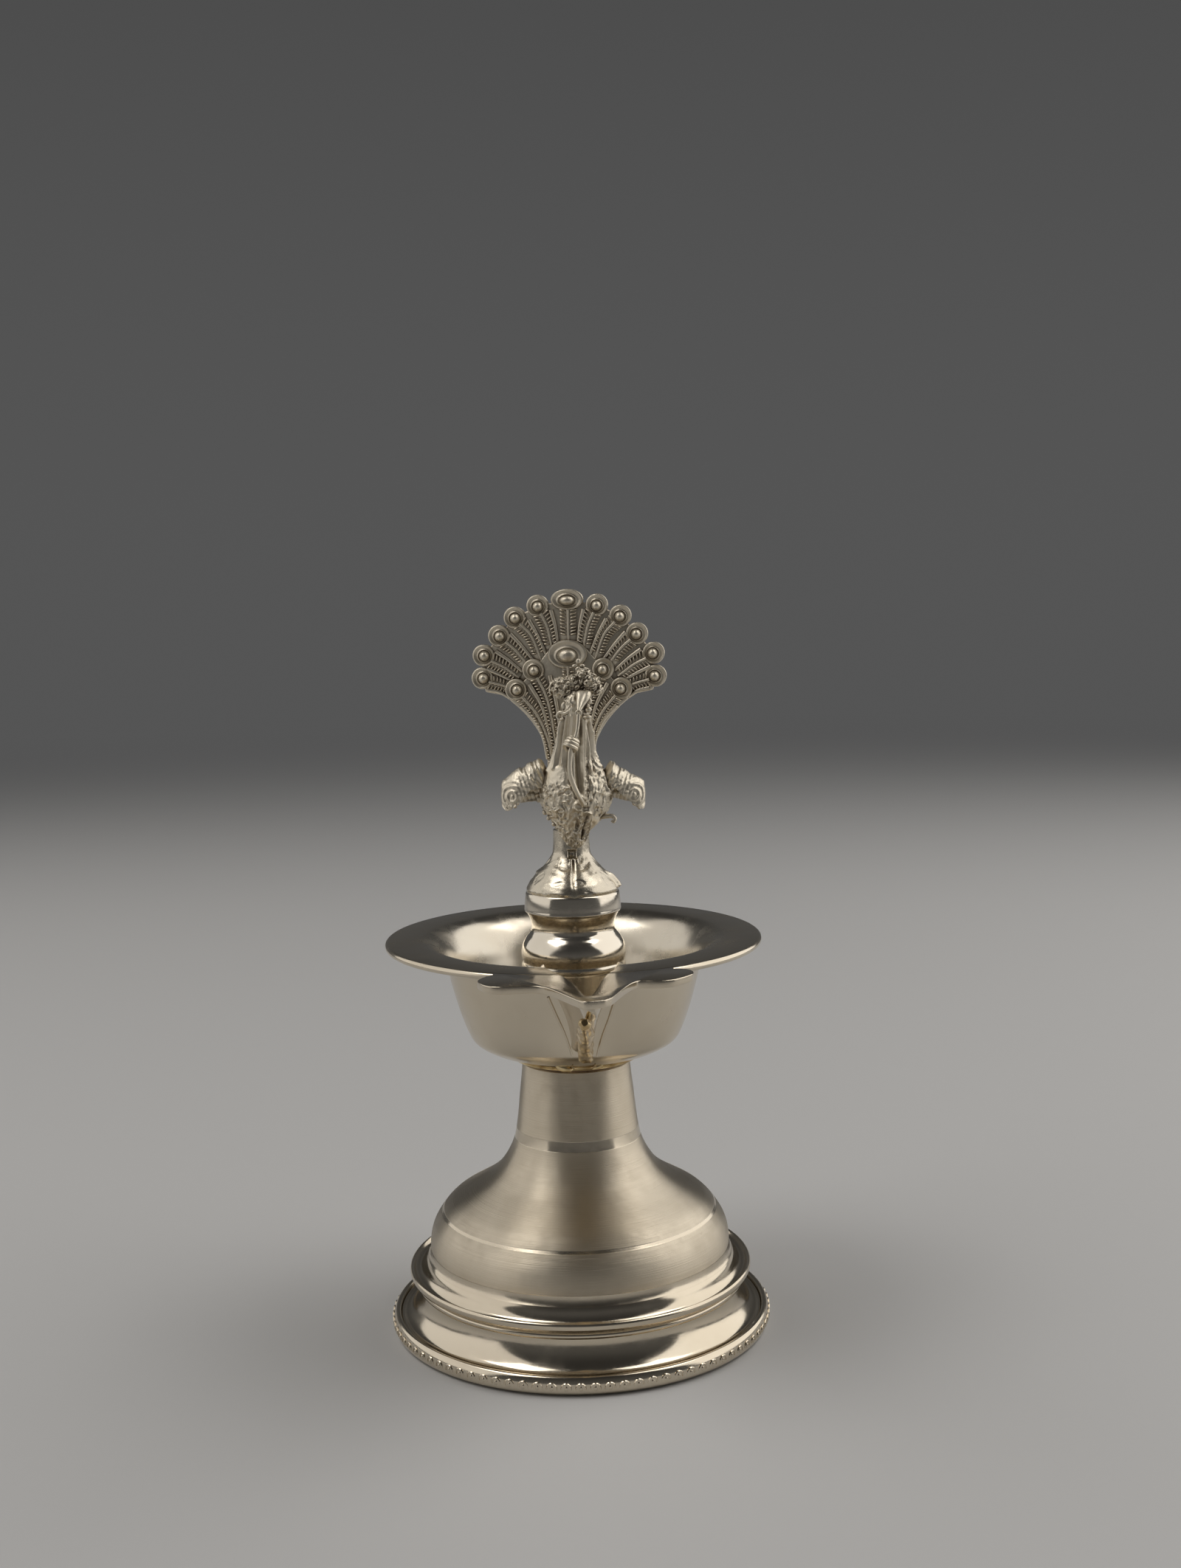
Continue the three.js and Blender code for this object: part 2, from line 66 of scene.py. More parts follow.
# Points of a mesh that lie nearer than this, in metres, are one point
JOIN = 2e-6
Point = tuple[float, float]
Place = tuple[float, float, float]


class Slot(Enum):
    """The record's material slots."""

    POLISHED = "polished_silver"
    BRUSHED = "brushed_silver"
    CAST = "cast_silver"
    SOLDER = "golden_solder"
    BRASS = "screw_brass"
    LEATHER = "washer_leather"


# Modelling by hand: primitives, edit-mode tools and applied modifiers


def deselect() -> None:
    """Leaves edit mode and takes every object out of the selection."""
    if bpy.context.object and bpy.context.object.mode != "OBJECT":
        bpy.ops.object.mode_set(mode="OBJECT")
    bpy.ops.object.select_all(action="DESELECT")


def pick(obj: bpy.types.Object) -> None:
    """Makes one object the only selected and the active one.

    Args:
        obj: The object to work on.
    """
    deselect()
    obj.select_set(True)
    bpy.context.view_layer.objects.active = obj


@contextmanager
def opened(obj: bpy.types.Object) -> Iterator[None]:
    """Opens a mesh in edit mode with all of it selected, and closes it afterwards.

    Args:
        obj: The object whose mesh is worked on.

    Yields:
        Nothing, while the mesh is open.
    """
    pick(obj)
    bpy.ops.object.mode_set(mode="EDIT")
    bpy.ops.mesh.select_all(action="SELECT")
    yield
    bpy.ops.object.mode_set(mode="OBJECT")


def point_out() -> None:
    """Turns all faces of the opened mesh outwards."""
    bpy.ops.mesh.select_all(action="SELECT")
    bpy.ops.mesh.normals_make_consistent(inside=False)


def newest(name: str) -> bpy.types.Object:
    """Names the object that an add operator has just made.

    Args:
        name: The new object's name.

    Returns:
        The object.
    """
    obj = bpy.context.object
    obj.name = name
    obj.data.name = name
    return obj


def settle(obj: bpy.types.Object) -> None:
    """Applies an object's place to its mesh, so that the object sits at the origin.

    Args:
        obj: The object to settle.
    """
    pick(obj)
    bpy.ops.object.transform_apply(location=True, rotation=True, scale=True)


def apply_modifier(obj: bpy.types.Object, kind: str, **settings: object) -> None:
    """Adds a modifier, sets it and applies it.

    Args:
        obj: The object to change.
        kind: The modifier's type, such as "BEVEL".
        **settings: Its settings by name.
    """
    pick(obj)
    modifier = obj.modifiers.new(kind.lower(), kind)
    for key, value in settings.items():
        setattr(modifier, key, value)
    bpy.ops.object.modifier_apply(modifier=modifier.name)


def cut_away(obj: bpy.types.Object, cutter: bpy.types.Object) -> None:
    """Cuts one closed solid out of another and deletes it.

    Args:
        obj: The solid that stays.
        cutter: The solid that is cut out of it.
    """
    apply_modifier(obj, "BOOLEAN", operation="DIFFERENCE", object=cutter, solver="EXACT")
    bpy.data.objects.remove(cutter)


def soften(obj: bpy.types.Object, angle: float = 35.0) -> None:
    """Shades an object smooth, except over edges sharper than an angle.

    Args:
        obj: The object to shade.
        angle: The sharpest edge that stays smooth, in degrees.
    """
    pick(obj)
    bpy.ops.object.shade_smooth_by_angle(angle=math.radians(angle))


def merge(name: str, pieces: list[bpy.types.Object]) -> bpy.types.Object:
    """Joins objects into one.

    Args:
        name: The whole's name.
        pieces: The objects to join.

    Returns:
        The joined object.
    """
    deselect()
    for piece in pieces:
        piece.select_set(True)
    bpy.context.view_layer.objects.active = pieces[0]
    bpy.ops.object.join()
    return newest(name)


def copy_of(obj: bpy.types.Object, matrix: Matrix) -> bpy.types.Object:
    """Copies an object with its own mesh, moved by a matrix.

    Args:
        obj: The object to copy.
        matrix: The move, applied to the copy's mesh.

    Returns:
        The copy.
    """
    twin = obj.copy()
    twin.data = obj.data.copy()
    twin.data.transform(matrix)
    bpy.context.collection.objects.link(twin)
    return twin


def smooth_run(points: list[Point], step: float = 0.4) -> list[Point]:
    """Draws a smooth line through points (a centripetal Catmull-Rom curve).

    Args:
        points: Radius and height of each point, in millimetres.
        step: Rough distance between the drawn points, in millimetres.

    Returns:
        The drawn points.
    """
    if len(points) < 3:
        return list(points)
    knots = [Vector(p) for p in points]
    knots = [2 * knots[0] - knots[1], *knots, 2 * knots[-1] - knots[-2]]
    drawn: list[Point] = []
    for a, b, c, d in zip(knots, knots[1:], knots[2:], knots[3:]):
        t1 = (b - a).length ** 0.5
        t2 = t1 + (c - b).length ** 0.5
        t3 = t2 + (d - c).length ** 0.5
        count = max(round((c - b).length / step), 2)
        for i in range(count):
            t = t1 + (t2 - t1) * i / count
            ab = a + (b - a) * (t / t1)
            bc = b + (c - b) * ((t - t1) / (t2 - t1))
            cd = c + (d - c) * ((t - t2) / (t3 - t2))
            abc = ab + (bc - ab) * (t / t2)
            bcd = bc + (cd - bc) * ((t - t1) / (t3 - t1))
            spot = abc + (bcd - abc) * ((t - t1) / (t2 - t1))
            drawn.append((spot.x, spot.y))
    drawn.append(tuple(points[-1]))
    return drawn


def arc(centre: Point, radius: float, start: float, end: float, count: int = 6) -> list[Point]:
    """Draws a round stretch of a section.

    Args:
        centre: Radius and height of its centre, in millimetres.
        radius: Its radius, in millimetres.
        start: Its first angle in degrees, from outwards towards up.
        end: Its last angle.
        count: How many steps it has.

    Returns:
        The drawn points.
    """
    turns = [math.radians(start + (end - start) * i / count) for i in range(count + 1)]
    return [(centre[0] + radius * math.cos(t), centre[1] + radius * math.sin(t)) for t in turns]


def offset(line: list[Point], distance: float) -> list[Point]:
    """Moves a line sideways, to its left as it runs.

    Args:
        line: Radius and height of its points.
        distance: How far to move it.

    Returns:
        The moved line.
    """
    moved = []
    for i, (r, z) in enumerate(line):
        before, after = line[max(i - 1, 0)], line[min(i + 1, len(line) - 1)]
        run = math.hypot(after[0] - before[0], after[1] - before[1])
        moved.append((r - distance * (after[1] - before[1]) / run,
                      z + distance * (after[0] - before[0]) / run))
    return moved


def sheet_section(skin: list[Point], thickness: float) -> list[Point]:
    """Makes the closed section of a sheet from its outer skin, with rounded edges.

    Args:
        skin: The outer skin, drawn so that the sheet's thickness lies to its left.
        thickness: The sheet's thickness, in millimetres.

    Returns:
        The closed section.
    """
    inner = offset(skin, thickness)
    round_start = [offset(skin[:2], thickness * k)[0] for k in (0.75, 0.5, 0.25)]
    round_end = [offset(skin[-2:], thickness * k)[1] for k in (0.25, 0.5, 0.75)]
    start_run = (Vector(skin[0]) - Vector(skin[1])).normalized() * thickness * 0.2
    end_run = (Vector(skin[-1]) - Vector(skin[-2])).normalized() * thickness * 0.2
    bulge = (0.7, 1.0, 0.7)
    start = [(p[0] + start_run.x * k, p[1] + start_run.y * k) for p, k in zip(round_start, bulge)]
    end = [(p[0] + end_run.x * k, p[1] + end_run.y * k) for p, k in zip(round_end, bulge)]
    return [*skin, *end, *reversed(inner), *start]


def draw(name: str, points: list[Place]) -> bpy.types.Object:
    """Draws a line of vertices by extruding one vertex from point to point.

    Args:
        name: The new object's name.
        points: The line's points, in metres.

    Returns:
        An object that holds only the line.
    """
    deselect()
    bpy.ops.mesh.primitive_plane_add(size=MM, location=(0, 0, 0))
    obj = newest(name)
    with opened(obj):
        bpy.ops.mesh.merge(type="CENTER")
        bpy.ops.transform.translate(value=points[0])
        for a, b in zip(points, points[1:]):
            bpy.ops.mesh.extrude_region_move(TRANSFORM_OT_translate={"value": Vector(b) - Vector(a)})
    return obj


def turn(name: str, section: list[Point], steps: int = 160, closed: bool = True) -> bpy.types.Object:
    """Spins a section round the lamp's axis.

    Args:
        name: The new object's name.
        section: Radius and height of the section's points, in millimetres.
        steps: How many steps make the full turn.
        closed: True for a closed section, False for one that starts and ends on the axis.

    Returns:
        The turned object, with its faces pointing out.
    """
    loop = [*section, section[0]] if closed else section
    obj = draw(name, [(r * MM, 0.0, z * MM) for r, z in loop])
    with opened(obj):
        bpy.ops.mesh.spin(steps=steps, angle=2 * math.pi, center=(0, 0, 0), axis=(0, 0, 1))
        bpy.ops.mesh.select_all(action="SELECT")
        bpy.ops.mesh.remove_doubles(threshold=JOIN)
        point_out()
    soften(obj)
    return obj


def shaped(name: str, columns: int, rows: int, rule: Callable[[float, float], Place]) -> bpy.types.Object:
    """Adds a grid and moves each of its points to the place that a rule gives it.

    Args:
        name: The new object's name.
        columns: Its faces across.
        rows: Its faces along.
        rule: Gives a point's place in millimetres from its two shares, each from 0 to 1.

    Returns:
        The shaped surface, its edges that meet joined and its faces pointing out.
    """
    deselect()
    bpy.ops.mesh.primitive_grid_add(x_subdivisions=columns, y_subdivisions=rows, size=1.0, location=(0, 0, 0))
    obj = newest(name)
    for vertex in obj.data.vertices:
        vertex.co = Vector(rule(vertex.co.x + 0.5, vertex.co.y + 0.5)) * MM
    with opened(obj):
        bpy.ops.mesh.remove_doubles(threshold=JOIN)
        point_out()
    soften(obj, 50)
    return obj


def slab(name: str, outline: list[Place], push: Place) -> bpy.types.Object:
    """Fills a flat outline and pushes it out to a slab.

    Args:
        name: The new object's name.
        outline: The outline's points, in millimetres.
        push: How far and which way it is pushed, in millimetres.

    Returns:
        The slab, with its faces pointing out.
    """
    plate = draw(name, [tuple(part * MM for part in point) for point in [*outline, outline[0]]])
    with opened(plate):
        bpy.ops.mesh.remove_doubles(threshold=JOIN)
        bpy.ops.mesh.edge_face_add()
        bpy.ops.mesh.extrude_region_move(TRANSFORM_OT_translate={"value": tuple(part * MM for part in push)})
        point_out()
    return plate


def ball(name: str, radius: float, place: Place = (0, 0, 0), scale: Place = (1, 1, 1),
         turn_deg: Place = (0, 0, 0), faces: tuple[int, int] = (16, 10)) -> bpy.types.Object:
    """Adds a ball and squashes, turns and places it.

    Args:
        name: The new object's name.
        radius: Its radius, in millimetres.
        place: Its centre, in millimetres.
        scale: The squash along each axis.
        turn_deg: The turn about each axis, in degrees.
        faces: Its faces round and from pole to pole.

    Returns:
        The ball.
    """
    deselect()
    bpy.ops.mesh.primitive_uv_sphere_add(segments=faces[0], ring_count=faces[1], radius=radius * MM)
    obj = newest(name)
    obj.scale = scale
    obj.rotation_euler = tuple(math.radians(angle) for angle in turn_deg)
    obj.location = tuple(part * MM for part in place)
    settle(obj)
    return obj


class Route:
    """A smooth line in space through given points, with a steady frame along it."""

    def __init__(self, points: list[Place], steps: int = 80) -> None:
        """Draws the line.

        Args:
            points: Its points, in millimetres.
            steps: How many stretches it is drawn with.
        """
        knots = [Vector(p) for p in points]
        knots = [2 * knots[0] - knots[1], *knots, 2 * knots[-1] - knots[-2]]
        spans = len(points) - 1
        self.spots: list[Vector] = []
        for i in range(steps + 1):
            where = min(i / steps * spans, spans - 1e-6)
            a, b, c, d = knots[int(where):int(where) + 4]
            t = where - int(where)
            self.spots.append(0.5 * (2 * b + (c - a) * t + (2 * a - 5 * b + 4 * c - d) * t * t
                                     + (3 * b - a - 3 * c + d) * t ** 3))
        self.steps = steps
        side = Vector((1, 0, 0)) if abs(self.heading(0).x) < 0.8 else Vector((0, 1, 0))
        self.sides: list[Vector] = []
        for i in range(steps + 1):
            run = self.heading(i)
            side = (side - run * side.dot(run)).normalized()
            self.sides.append(side.copy())

    def heading(self, step: int) -> Vector:
        """Gives the line's direction at a step."""
        low, high = max(step - 1, 0), min(step + 1, self.steps)
        return (self.spots[high] - self.spots[low]).normalized()

    def around(self, share: float, angle: float, wide: float, tall: float | None = None) -> Place:
        """Gives a point beside the line.

        Args:
            share: How far along the line, from 0 to 1.
            angle: The turn round it, in radians, from its side.
            wide: The distance from it sideways, in millimetres.
            tall: The distance from it the other way, where that differs.

        Returns:
            The point, in millimetres.
        """
        step = min(round(share * self.steps), self.steps)
        side = self.sides[step]
        other = self.heading(step).cross(side)
        return tuple(self.spots[step] + side * wide * math.cos(angle)
                     + other * (wide if tall is None else tall) * math.sin(angle))


def tube(name: str, route: Route, swell: Callable[[float, float], float],
         sides: int = 16) -> bpy.types.Object:
    """Wraps a closed skin round a line.

    Args:
        name: The new object's name.
        route: The line.
        swell: Gives the radius in millimetres from the share along the line and the angle.
        sides: Its faces round the line.

    Returns:
        The tube, closed to a point at both ends.
    """
    last = route.steps

    def rule(u: float, v: float) -> Place:
        """Places one point of the skin."""
        step = round(v * (last + 2)) - 1
        share = min(max(step / last, 0.0), 1.0)
        radius = 0.0 if step < 0 or step > last else swell(share, 2 * math.pi * u)
        return route.around(share, 2 * math.pi * u, radius)

    return shaped(name, sides, last + 2, rule)


def taper(start: float, drop: float) -> Callable[[float, float], float]:
    """Gives a tube a radius that falls evenly along it.

    Args:
        start: The radius at its start, in millimetres.
        drop: How much thinner it is at its end.

    Returns:
        The rule for the tube's radius.
    """
    return lambda share, _: start - drop * share


def smooth(value: float, low: float, high: float) -> float:
    """Rises softly from 0 at one value to 1 at another."""
    t = min(max((value - low) / (high - low), 0.0), 1.0)
    return t * t * (3 - 2 * t)


def along(value: float, table: list[tuple[float, ...]]) -> list[float]:
    """Reads a table of stations smoothly.

    Args:
        value: Where to read it.
        table: Rows that start with their station, in rising order.

    Returns:
        The other columns' values there.
    """
    value = min(max(value, table[0][0]), table[-1][0])
    last = len(table) - 2
    i = next((k for k in range(last + 1) if value <= table[k + 1][0]), last)
    rows = [table[max(i - 1, 0)], table[i], table[i + 1], table[min(i + 2, last + 1)]]
    span = rows[2][0] - rows[1][0]
    t = (value - rows[1][0]) / span
    values = []
    for column in range(1, len(table[0])):
        slopes = []
        for a, b in ((rows[0], rows[2]), (rows[1], rows[3])):
            slopes.append((b[column] - a[column]) / (b[0] - a[0]) * span)
        p, q = rows[1][column], rows[2][column]
        values.append((2 * t ** 3 - 3 * t * t + 1) * p + (t ** 3 - 2 * t * t + t) * slopes[0]
                      + (3 * t * t - 2 * t ** 3) * q + (t ** 3 - t * t) * slopes[1])
    return values


def worms(place: Vector, size: float, seed: float = 0.0) -> float:
    """Gives a worm-like pattern of rounded threads, from 0 between them to 1 on them.

    Args:
        place: Where to read it, in millimetres.
        size: The threads' spacing, in millimetres.
        seed: Moves the pattern.

    Returns:
        The pattern's height.
    """
    spot = place / size + Vector((seed, 2.7 * seed, -seed))
    bent = spot + 0.35 * noise.noise_vector(spot * 0.9)
    return 1 - min(abs(noise.noise(bent)) * 3.2, 1.0)


def bend(start: Point, control: Point, end: Point, count: int) -> list[Point]:
    """Draws a quadratic curve.

    Args:
        start: Where it starts.
        control: The point that it bends towards.
        end: Where it ends.
        count: How many steps it has.

    Returns:
        The drawn points, both ends included.
    """
    a, b, c = Vector(start), Vector(control), Vector(end)
    shares = [i / count for i in range(count + 1)]
    return [tuple(a * (1 - t) ** 2 + b * 2 * t * (1 - t) + c * t * t) for t in shares]


def face_away(obj: bpy.types.Object, inside: Vector) -> None:
    """Turns an open surface's faces to look away from a point.

    Args:
        obj: The surface.
        inside: The point behind it, in metres.
    """
    looks = sum(face.normal.dot(face.center - inside) * face.area for face in obj.data.polygons)
    if looks < 0:
        with opened(obj):
            bpy.ops.mesh.flip_normals()


def distance_to(line: list[Point], x: float, z: float) -> float:
    """Gives the distance from a point to a drawn line, in the plane seen from the front."""
    best = math.inf
    spot = Vector((x, z))
    for a, b in zip(line, line[1:]):
        start, run = Vector(a), Vector(b) - Vector(a)
        t = min(max((spot - start).dot(run) / run.length_squared, 0.0), 1.0)
        best = min(best, (spot - start - run * t).length)
    return best


def place_on(obj: bpy.types.Object, body: str, slot: Slot, *nodes: str) -> None:
    """Puts a piece on its body in place of the construction nodes that it stands for, and hides them.

    Args:
        obj: The piece.
        body: The body that it rides on.
        slot: The record's material slot; not used.
        *nodes: The construction nodes that it stands for.
    """
    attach(obj, body)
    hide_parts(*nodes)
    log.info("%s rides on %s with %d faces", obj.name, body, len(obj.data.polygons))


# Finishes


class Graph:
    """A material's node tree, with short ways to add and link its nodes."""

    def __init__(self, name: str) -> None:
        """Starts an empty tree.

        Args:
            name: The material's name.
        """
        self.material = bpy.data.materials.new(name)
        self.material.use_nodes = True
        self.tree = self.material.node_tree
        self.shader = self.tree.nodes["Principled BSDF"]

    def node(self, kind: str, inputs: dict[str | int, object] | None = None,
             **settings: object) -> bpy.types.Node:
        """Adds a node.

        Args:
            kind: Its type without the ShaderNode prefix.
            inputs: Values or sockets for its inputs, by name or number.
            **settings: Its own properties.

        Returns:
            The node.
        """
        made = self.tree.nodes.new("ShaderNode" + kind)
        for key, value in settings.items():
            setattr(made, key, value)
        for key, value in (inputs or {}).items():
            self.feed(made.inputs[key], value)
        return made

    def feed(self, socket: bpy.types.NodeSocket, value: object) -> None:
        """Links a socket or sets its value.

        Args:
            socket: The input to feed.
            value: An output socket, or a plain value.
        """
        if isinstance(value, bpy.types.NodeSocket):
            self.tree.links.new(value, socket)
        else:
            socket.default_value = value

    def math(self, operation: str, a: object, b: object = 0.0, c: object = 0.0,
             clamp: bool = False) -> object:
        """Adds a Math node.

        Args:
            operation: Its operation.
            a: First input.
            b: Second input.
            c: Third input.
            clamp: True to keep the result between 0 and 1.

        Returns:
            Its output socket.
        """
        made = self.node("Math", {0: a, 1: b, 2: c}, operation=operation, use_clamp=clamp)
        return made.outputs[0]

    def ramp(self, value: object, low: float, high: float, to_low: float = 0.0,
             to_high: float = 1.0) -> object:
        """Maps a range of values smoothly onto another.

        Args:
            value: The input socket.
            low: Where the input range starts.
            high: Where it ends.
            to_low: The result at its start.
            to_high: The result at its end.

        Returns:
            The output socket.
        """
        made = self.node("MapRange", {0: value, 1: low, 2: high, 3: to_low, 4: to_high},
                         interpolation_type="SMOOTHSTEP")
        return made.outputs[0]

    def objects(self) -> object:
        """Gives the Object coordinates."""
        return self.node("TexCoord").outputs["Object"]

    def noise(self, vector: object, scale: float, detail: float = 2.0, rough: float = 0.5) -> object:
        """Adds a noise pattern.

        Args:
            vector: Its coordinates.
            scale: Its scale per metre.
            detail: Its octaves.
            rough: The finer octaves' share.

        Returns:
            Its value socket.
        """
        made = self.node("TexNoise", {"Vector": vector, "Scale": scale, "Detail": detail, "Roughness": rough})
        return made.outputs[0]

    def stretched(self, turn_deg: Place, scale: Place) -> object:
        """Turns and stretches the Object coordinates.

        Args:
            turn_deg: The turn about each axis, in degrees.
            scale: The scale along each axis after the turn.

        Returns:
            The coordinates.
        """
        radians = tuple(math.radians(a) for a in turn_deg)
        turned = self.node("Mapping", {"Vector": self.objects(), "Rotation": radians})
        return self.node("Mapping", {"Vector": turned.outputs[0], "Scale": scale}).outputs[0]

    def mix(self, share: object, a: Place, b: Place) -> object:
        """Mixes two colours.

        Args:
            share: The second colour's share.
            a: First colour.
            b: Second colour.

        Returns:
            The mixed colour's socket.
        """
        made = self.node("Mix", data_type="RGBA")
        self.feed(made.inputs[0], share)
        self.feed(made.inputs[6], (*a, 1))
        self.feed(made.inputs[7], (*b, 1))
        return made.outputs[2]

    def bump(self, height: object, distance: float, strength: float = 1.0, under: object = None) -> object:
        """Adds a bump.

        Args:
            height: The height pattern.
            distance: Its depth, in metres.
            strength: Its share.
            under: A bump below it.

        Returns:
            The normal's socket.
        """
        made = self.node("Bump", {"Height": height, "Distance": distance, "Strength": strength})
        if under is not None:
            self.feed(made.inputs["Normal"], under)
        return made.outputs[0]

    def radius(self, parts: bpy.types.bpy_prop_collection) -> object:
        """Gives the distance from the upright axis, from the separated coordinates."""
        squares = [self.math("MULTIPLY", part, part) for part in (parts[0], parts[1])]
        return self.math("SQRT", self.math("ADD", *squares))

    def close(self, colour: object, gloss: object, normal: object, metal: float = 1.0) -> bpy.types.Material:
        """Feeds the shader and hands the material over.

        Args:
            colour: The base colour's socket.
            gloss: The roughness.
            normal: The bumped normal's socket.
            metal: 1 for metal, 0 for anything else.

        Returns:
            The material.
        """
        self.feed(self.shader.inputs["Base Color"], colour)
        self.feed(self.shader.inputs["Roughness"], gloss)
        self.feed(self.shader.inputs["Normal"], normal)
        self.shader.inputs["Metallic"].default_value = metal
        return self.material


@dataclass(frozen=True)
class Silver:
    """A worked silver surface: colour, gloss, hairline scratches, smudges and brush lines."""

    name: str
    colour: Place = (0.69, 0.615, 0.495)
    shade: Place = (0.56, 0.48, 0.36)
    roughness: float = 0.12
    smudge: float = 0.1
    scratches: float = 0.1
    waviness: float = 0.35
    brushed: float = 0.0
    bands: tuple[Point, ...] = ()

    def hairlines(self, graph: Graph) -> object:
        """Draws fine scratches that run in three directions.

        Args:
            graph: The material's tree.

        Returns:
            Their pattern, 1 on a scratch.
        """
        total: object = 0.0
        for angles in ((20, 0, 35), (75, 30, -20), (-40, 60, 80)):
            lines = graph.noise(graph.stretched(angles, (90.0, 3400.0, 2300.0)), 1.0, 1.0)
            beside = graph.math("ABSOLUTE", graph.math("SUBTRACT", lines, 0.5))
            thin = graph.ramp(beside, 0.004, 0.012, 1.0, 0.0)
            patches = graph.noise(graph.stretched(angles, (160.0, 160.0, 160.0)), 1.0, 0.0)
            where = graph.ramp(patches, 0.5, 0.62)
            total = graph.math("MAXIMUM", graph.math("MULTIPLY", thin, where), total)
        return total

    def brush_lines(self, graph: Graph) -> object:
        """Draws the lines that a brush leaves round the axis.

        Args:
            graph: The material's tree.

        Returns:
            Their height pattern.
        """
        parts = graph.node("SeparateXYZ", {0: graph.objects()}).outputs
        radius = graph.radius(parts)
        angle = graph.math("ARCTAN2", parts[1], parts[0])
        layers = []
        for around, across in ((0.6, 5200.0), (3.0, 14000.0)):
            spot = graph.node("CombineXYZ", {0: graph.math("MULTIPLY", angle, around),
                                             1: graph.math("MULTIPLY", radius, across),
                                             2: graph.math("MULTIPLY", parts[2], across)})
            layers.append(graph.noise(spot.outputs[0], 1.0, 2.0, 0.6))
        return graph.math("ADD", layers[0], graph.math("MULTIPLY", layers[1], 0.6))

    def polished_bands(self, graph: Graph) -> object:
        """Marks the bands that were burnished bright, by height.

        Args:
            graph: The material's tree.

        Returns:
            1 outside the bands and 0 inside.
        """
        height = graph.node("SeparateXYZ", {0: graph.objects()}).outputs[2]
        share: object = 1.0
        edge = 0.06 * MM
        for low, high in self.bands:
            rise = graph.ramp(height, low * MM - edge, low * MM + edge)
            fall = graph.ramp(height, high * MM - edge, high * MM + edge)
            share = graph.math("SUBTRACT", share, graph.math("SUBTRACT", rise, fall), clamp=True)
        return share

    def build(self) -> bpy.types.Material:
        """Builds the material.

        Returns:
            The material.
        """
        graph = Graph(self.name)
        cloud = graph.noise(graph.objects(), 55.0, 4.0, 0.6)
        smudges = graph.ramp(graph.noise(graph.objects(), 140.0, 5.0, 0.65), 0.42, 0.72)
        lines = self.hairlines(graph)
        colour = graph.mix(graph.ramp(cloud, 0.35, 0.75, 0.0, 0.35), self.colour, self.shade)
        gloss = graph.math("MULTIPLY_ADD", smudges, self.smudge, self.roughness)
        gloss = graph.math("MULTIPLY_ADD", lines, 0.12 * self.scratches, gloss)
        dents = graph.noise(graph.objects(), 120.0, 1.0)
        normal = graph.bump(dents, 0.25 * MM, self.waviness)
        normal = graph.bump(lines, -0.012 * MM, self.scratches, normal)
        if self.brushed:
            outside = self.polished_bands(graph)
            brush = self.brush_lines(graph)
            streaks = graph.noise(graph.stretched((0, 0, 0), (420.0, 420.0, 45.0)), 1.0, 3.0, 0.6)
            streaks = graph.ramp(streaks, 0.35, 0.7, -0.02 * self.brushed, 0.04 * self.brushed)
            gloss = graph.math("ADD", gloss, graph.math("MULTIPLY", streaks, outside))
            gloss = graph.math("MULTIPLY_ADD", graph.math("MULTIPLY", outside, brush), 0.16 * self.brushed,
                               graph.math("MULTIPLY_ADD", outside, 0.09 * self.brushed, gloss))
            normal = graph.bump(graph.math("MULTIPLY", brush, outside), 0.04 * MM, self.brushed, normal)
            graph.shader.inputs["Anisotropic"].default_value = 0.93 * self.brushed
            graph.shader.inputs["Anisotropic Rotation"].default_value = 0.25
        return graph.close(colour, gloss, normal)


@dataclass(frozen=True)
class CastSilver:
    """A cast surface left matte, with tarnish in its recesses and bright high spots."""

    name: str
    colour: Place = (0.73, 0.665, 0.545)
    tarnish: Place = (0.12, 0.075, 0.04)
    roughness: float = 0.42
    reach: float = 0.9
    grain: float = 0.4

    def build(self) -> bpy.types.Material:
        """Builds the material.

        Returns:
            The material.
        """
        graph = Graph(self.name)
        hidden = graph.node("AmbientOcclusion", {"Distance": self.reach * MM}, samples=8)
        depth = graph.ramp(hidden.outputs["AO"], 0.3, 0.9, 1.0, 0.0)
        patches = graph.noise(graph.objects(), 240.0, 4.0, 0.6)
        share = graph.math("MULTIPLY", depth, graph.ramp(patches, 0.25, 0.7, 0.55, 1.0), clamp=True)
        grains = graph.noise(graph.objects(), 5200.0, 3.0, 0.6)
        pits = graph.ramp(graph.noise(graph.objects(), 1500.0, 2.0, 0.5), 0.3, 0.5, 0.0, 1.0)
        gloss = graph.math("MULTIPLY_ADD", share, 0.25,
                           graph.math("MULTIPLY_ADD", grains, 0.16, self.roughness - 0.08))
        normal = graph.bump(grains, 0.03 * MM, self.grain)
        normal = graph.bump(pits, 0.04 * MM, self.grain, normal)
        return graph.close(graph.mix(share, self.colour, self.tarnish), gloss, normal)


@dataclass(frozen=True)
class Solder:
    """Golden hard solder that has run and set in ripples."""

    name: str
    colour: Place = (0.80, 0.64, 0.37)
    shade: Place = (0.42, 0.29, 0.13)
    roughness: float = 0.16

    def build(self) -> bpy.types.Material:
        """Builds the material.

        Returns:
            The material.
        """
        graph = Graph(self.name)
        ripples = graph.noise(graph.objects(), 520.0, 3.0, 0.5)
        colour = graph.mix(graph.ramp(ripples, 0.35, 0.7), self.colour, self.shade)
        gloss = graph.math("MULTIPLY_ADD", ripples, 0.14, self.roughness)
        return graph.close(colour, gloss, graph.bump(ripples, 0.22 * MM, 0.6))


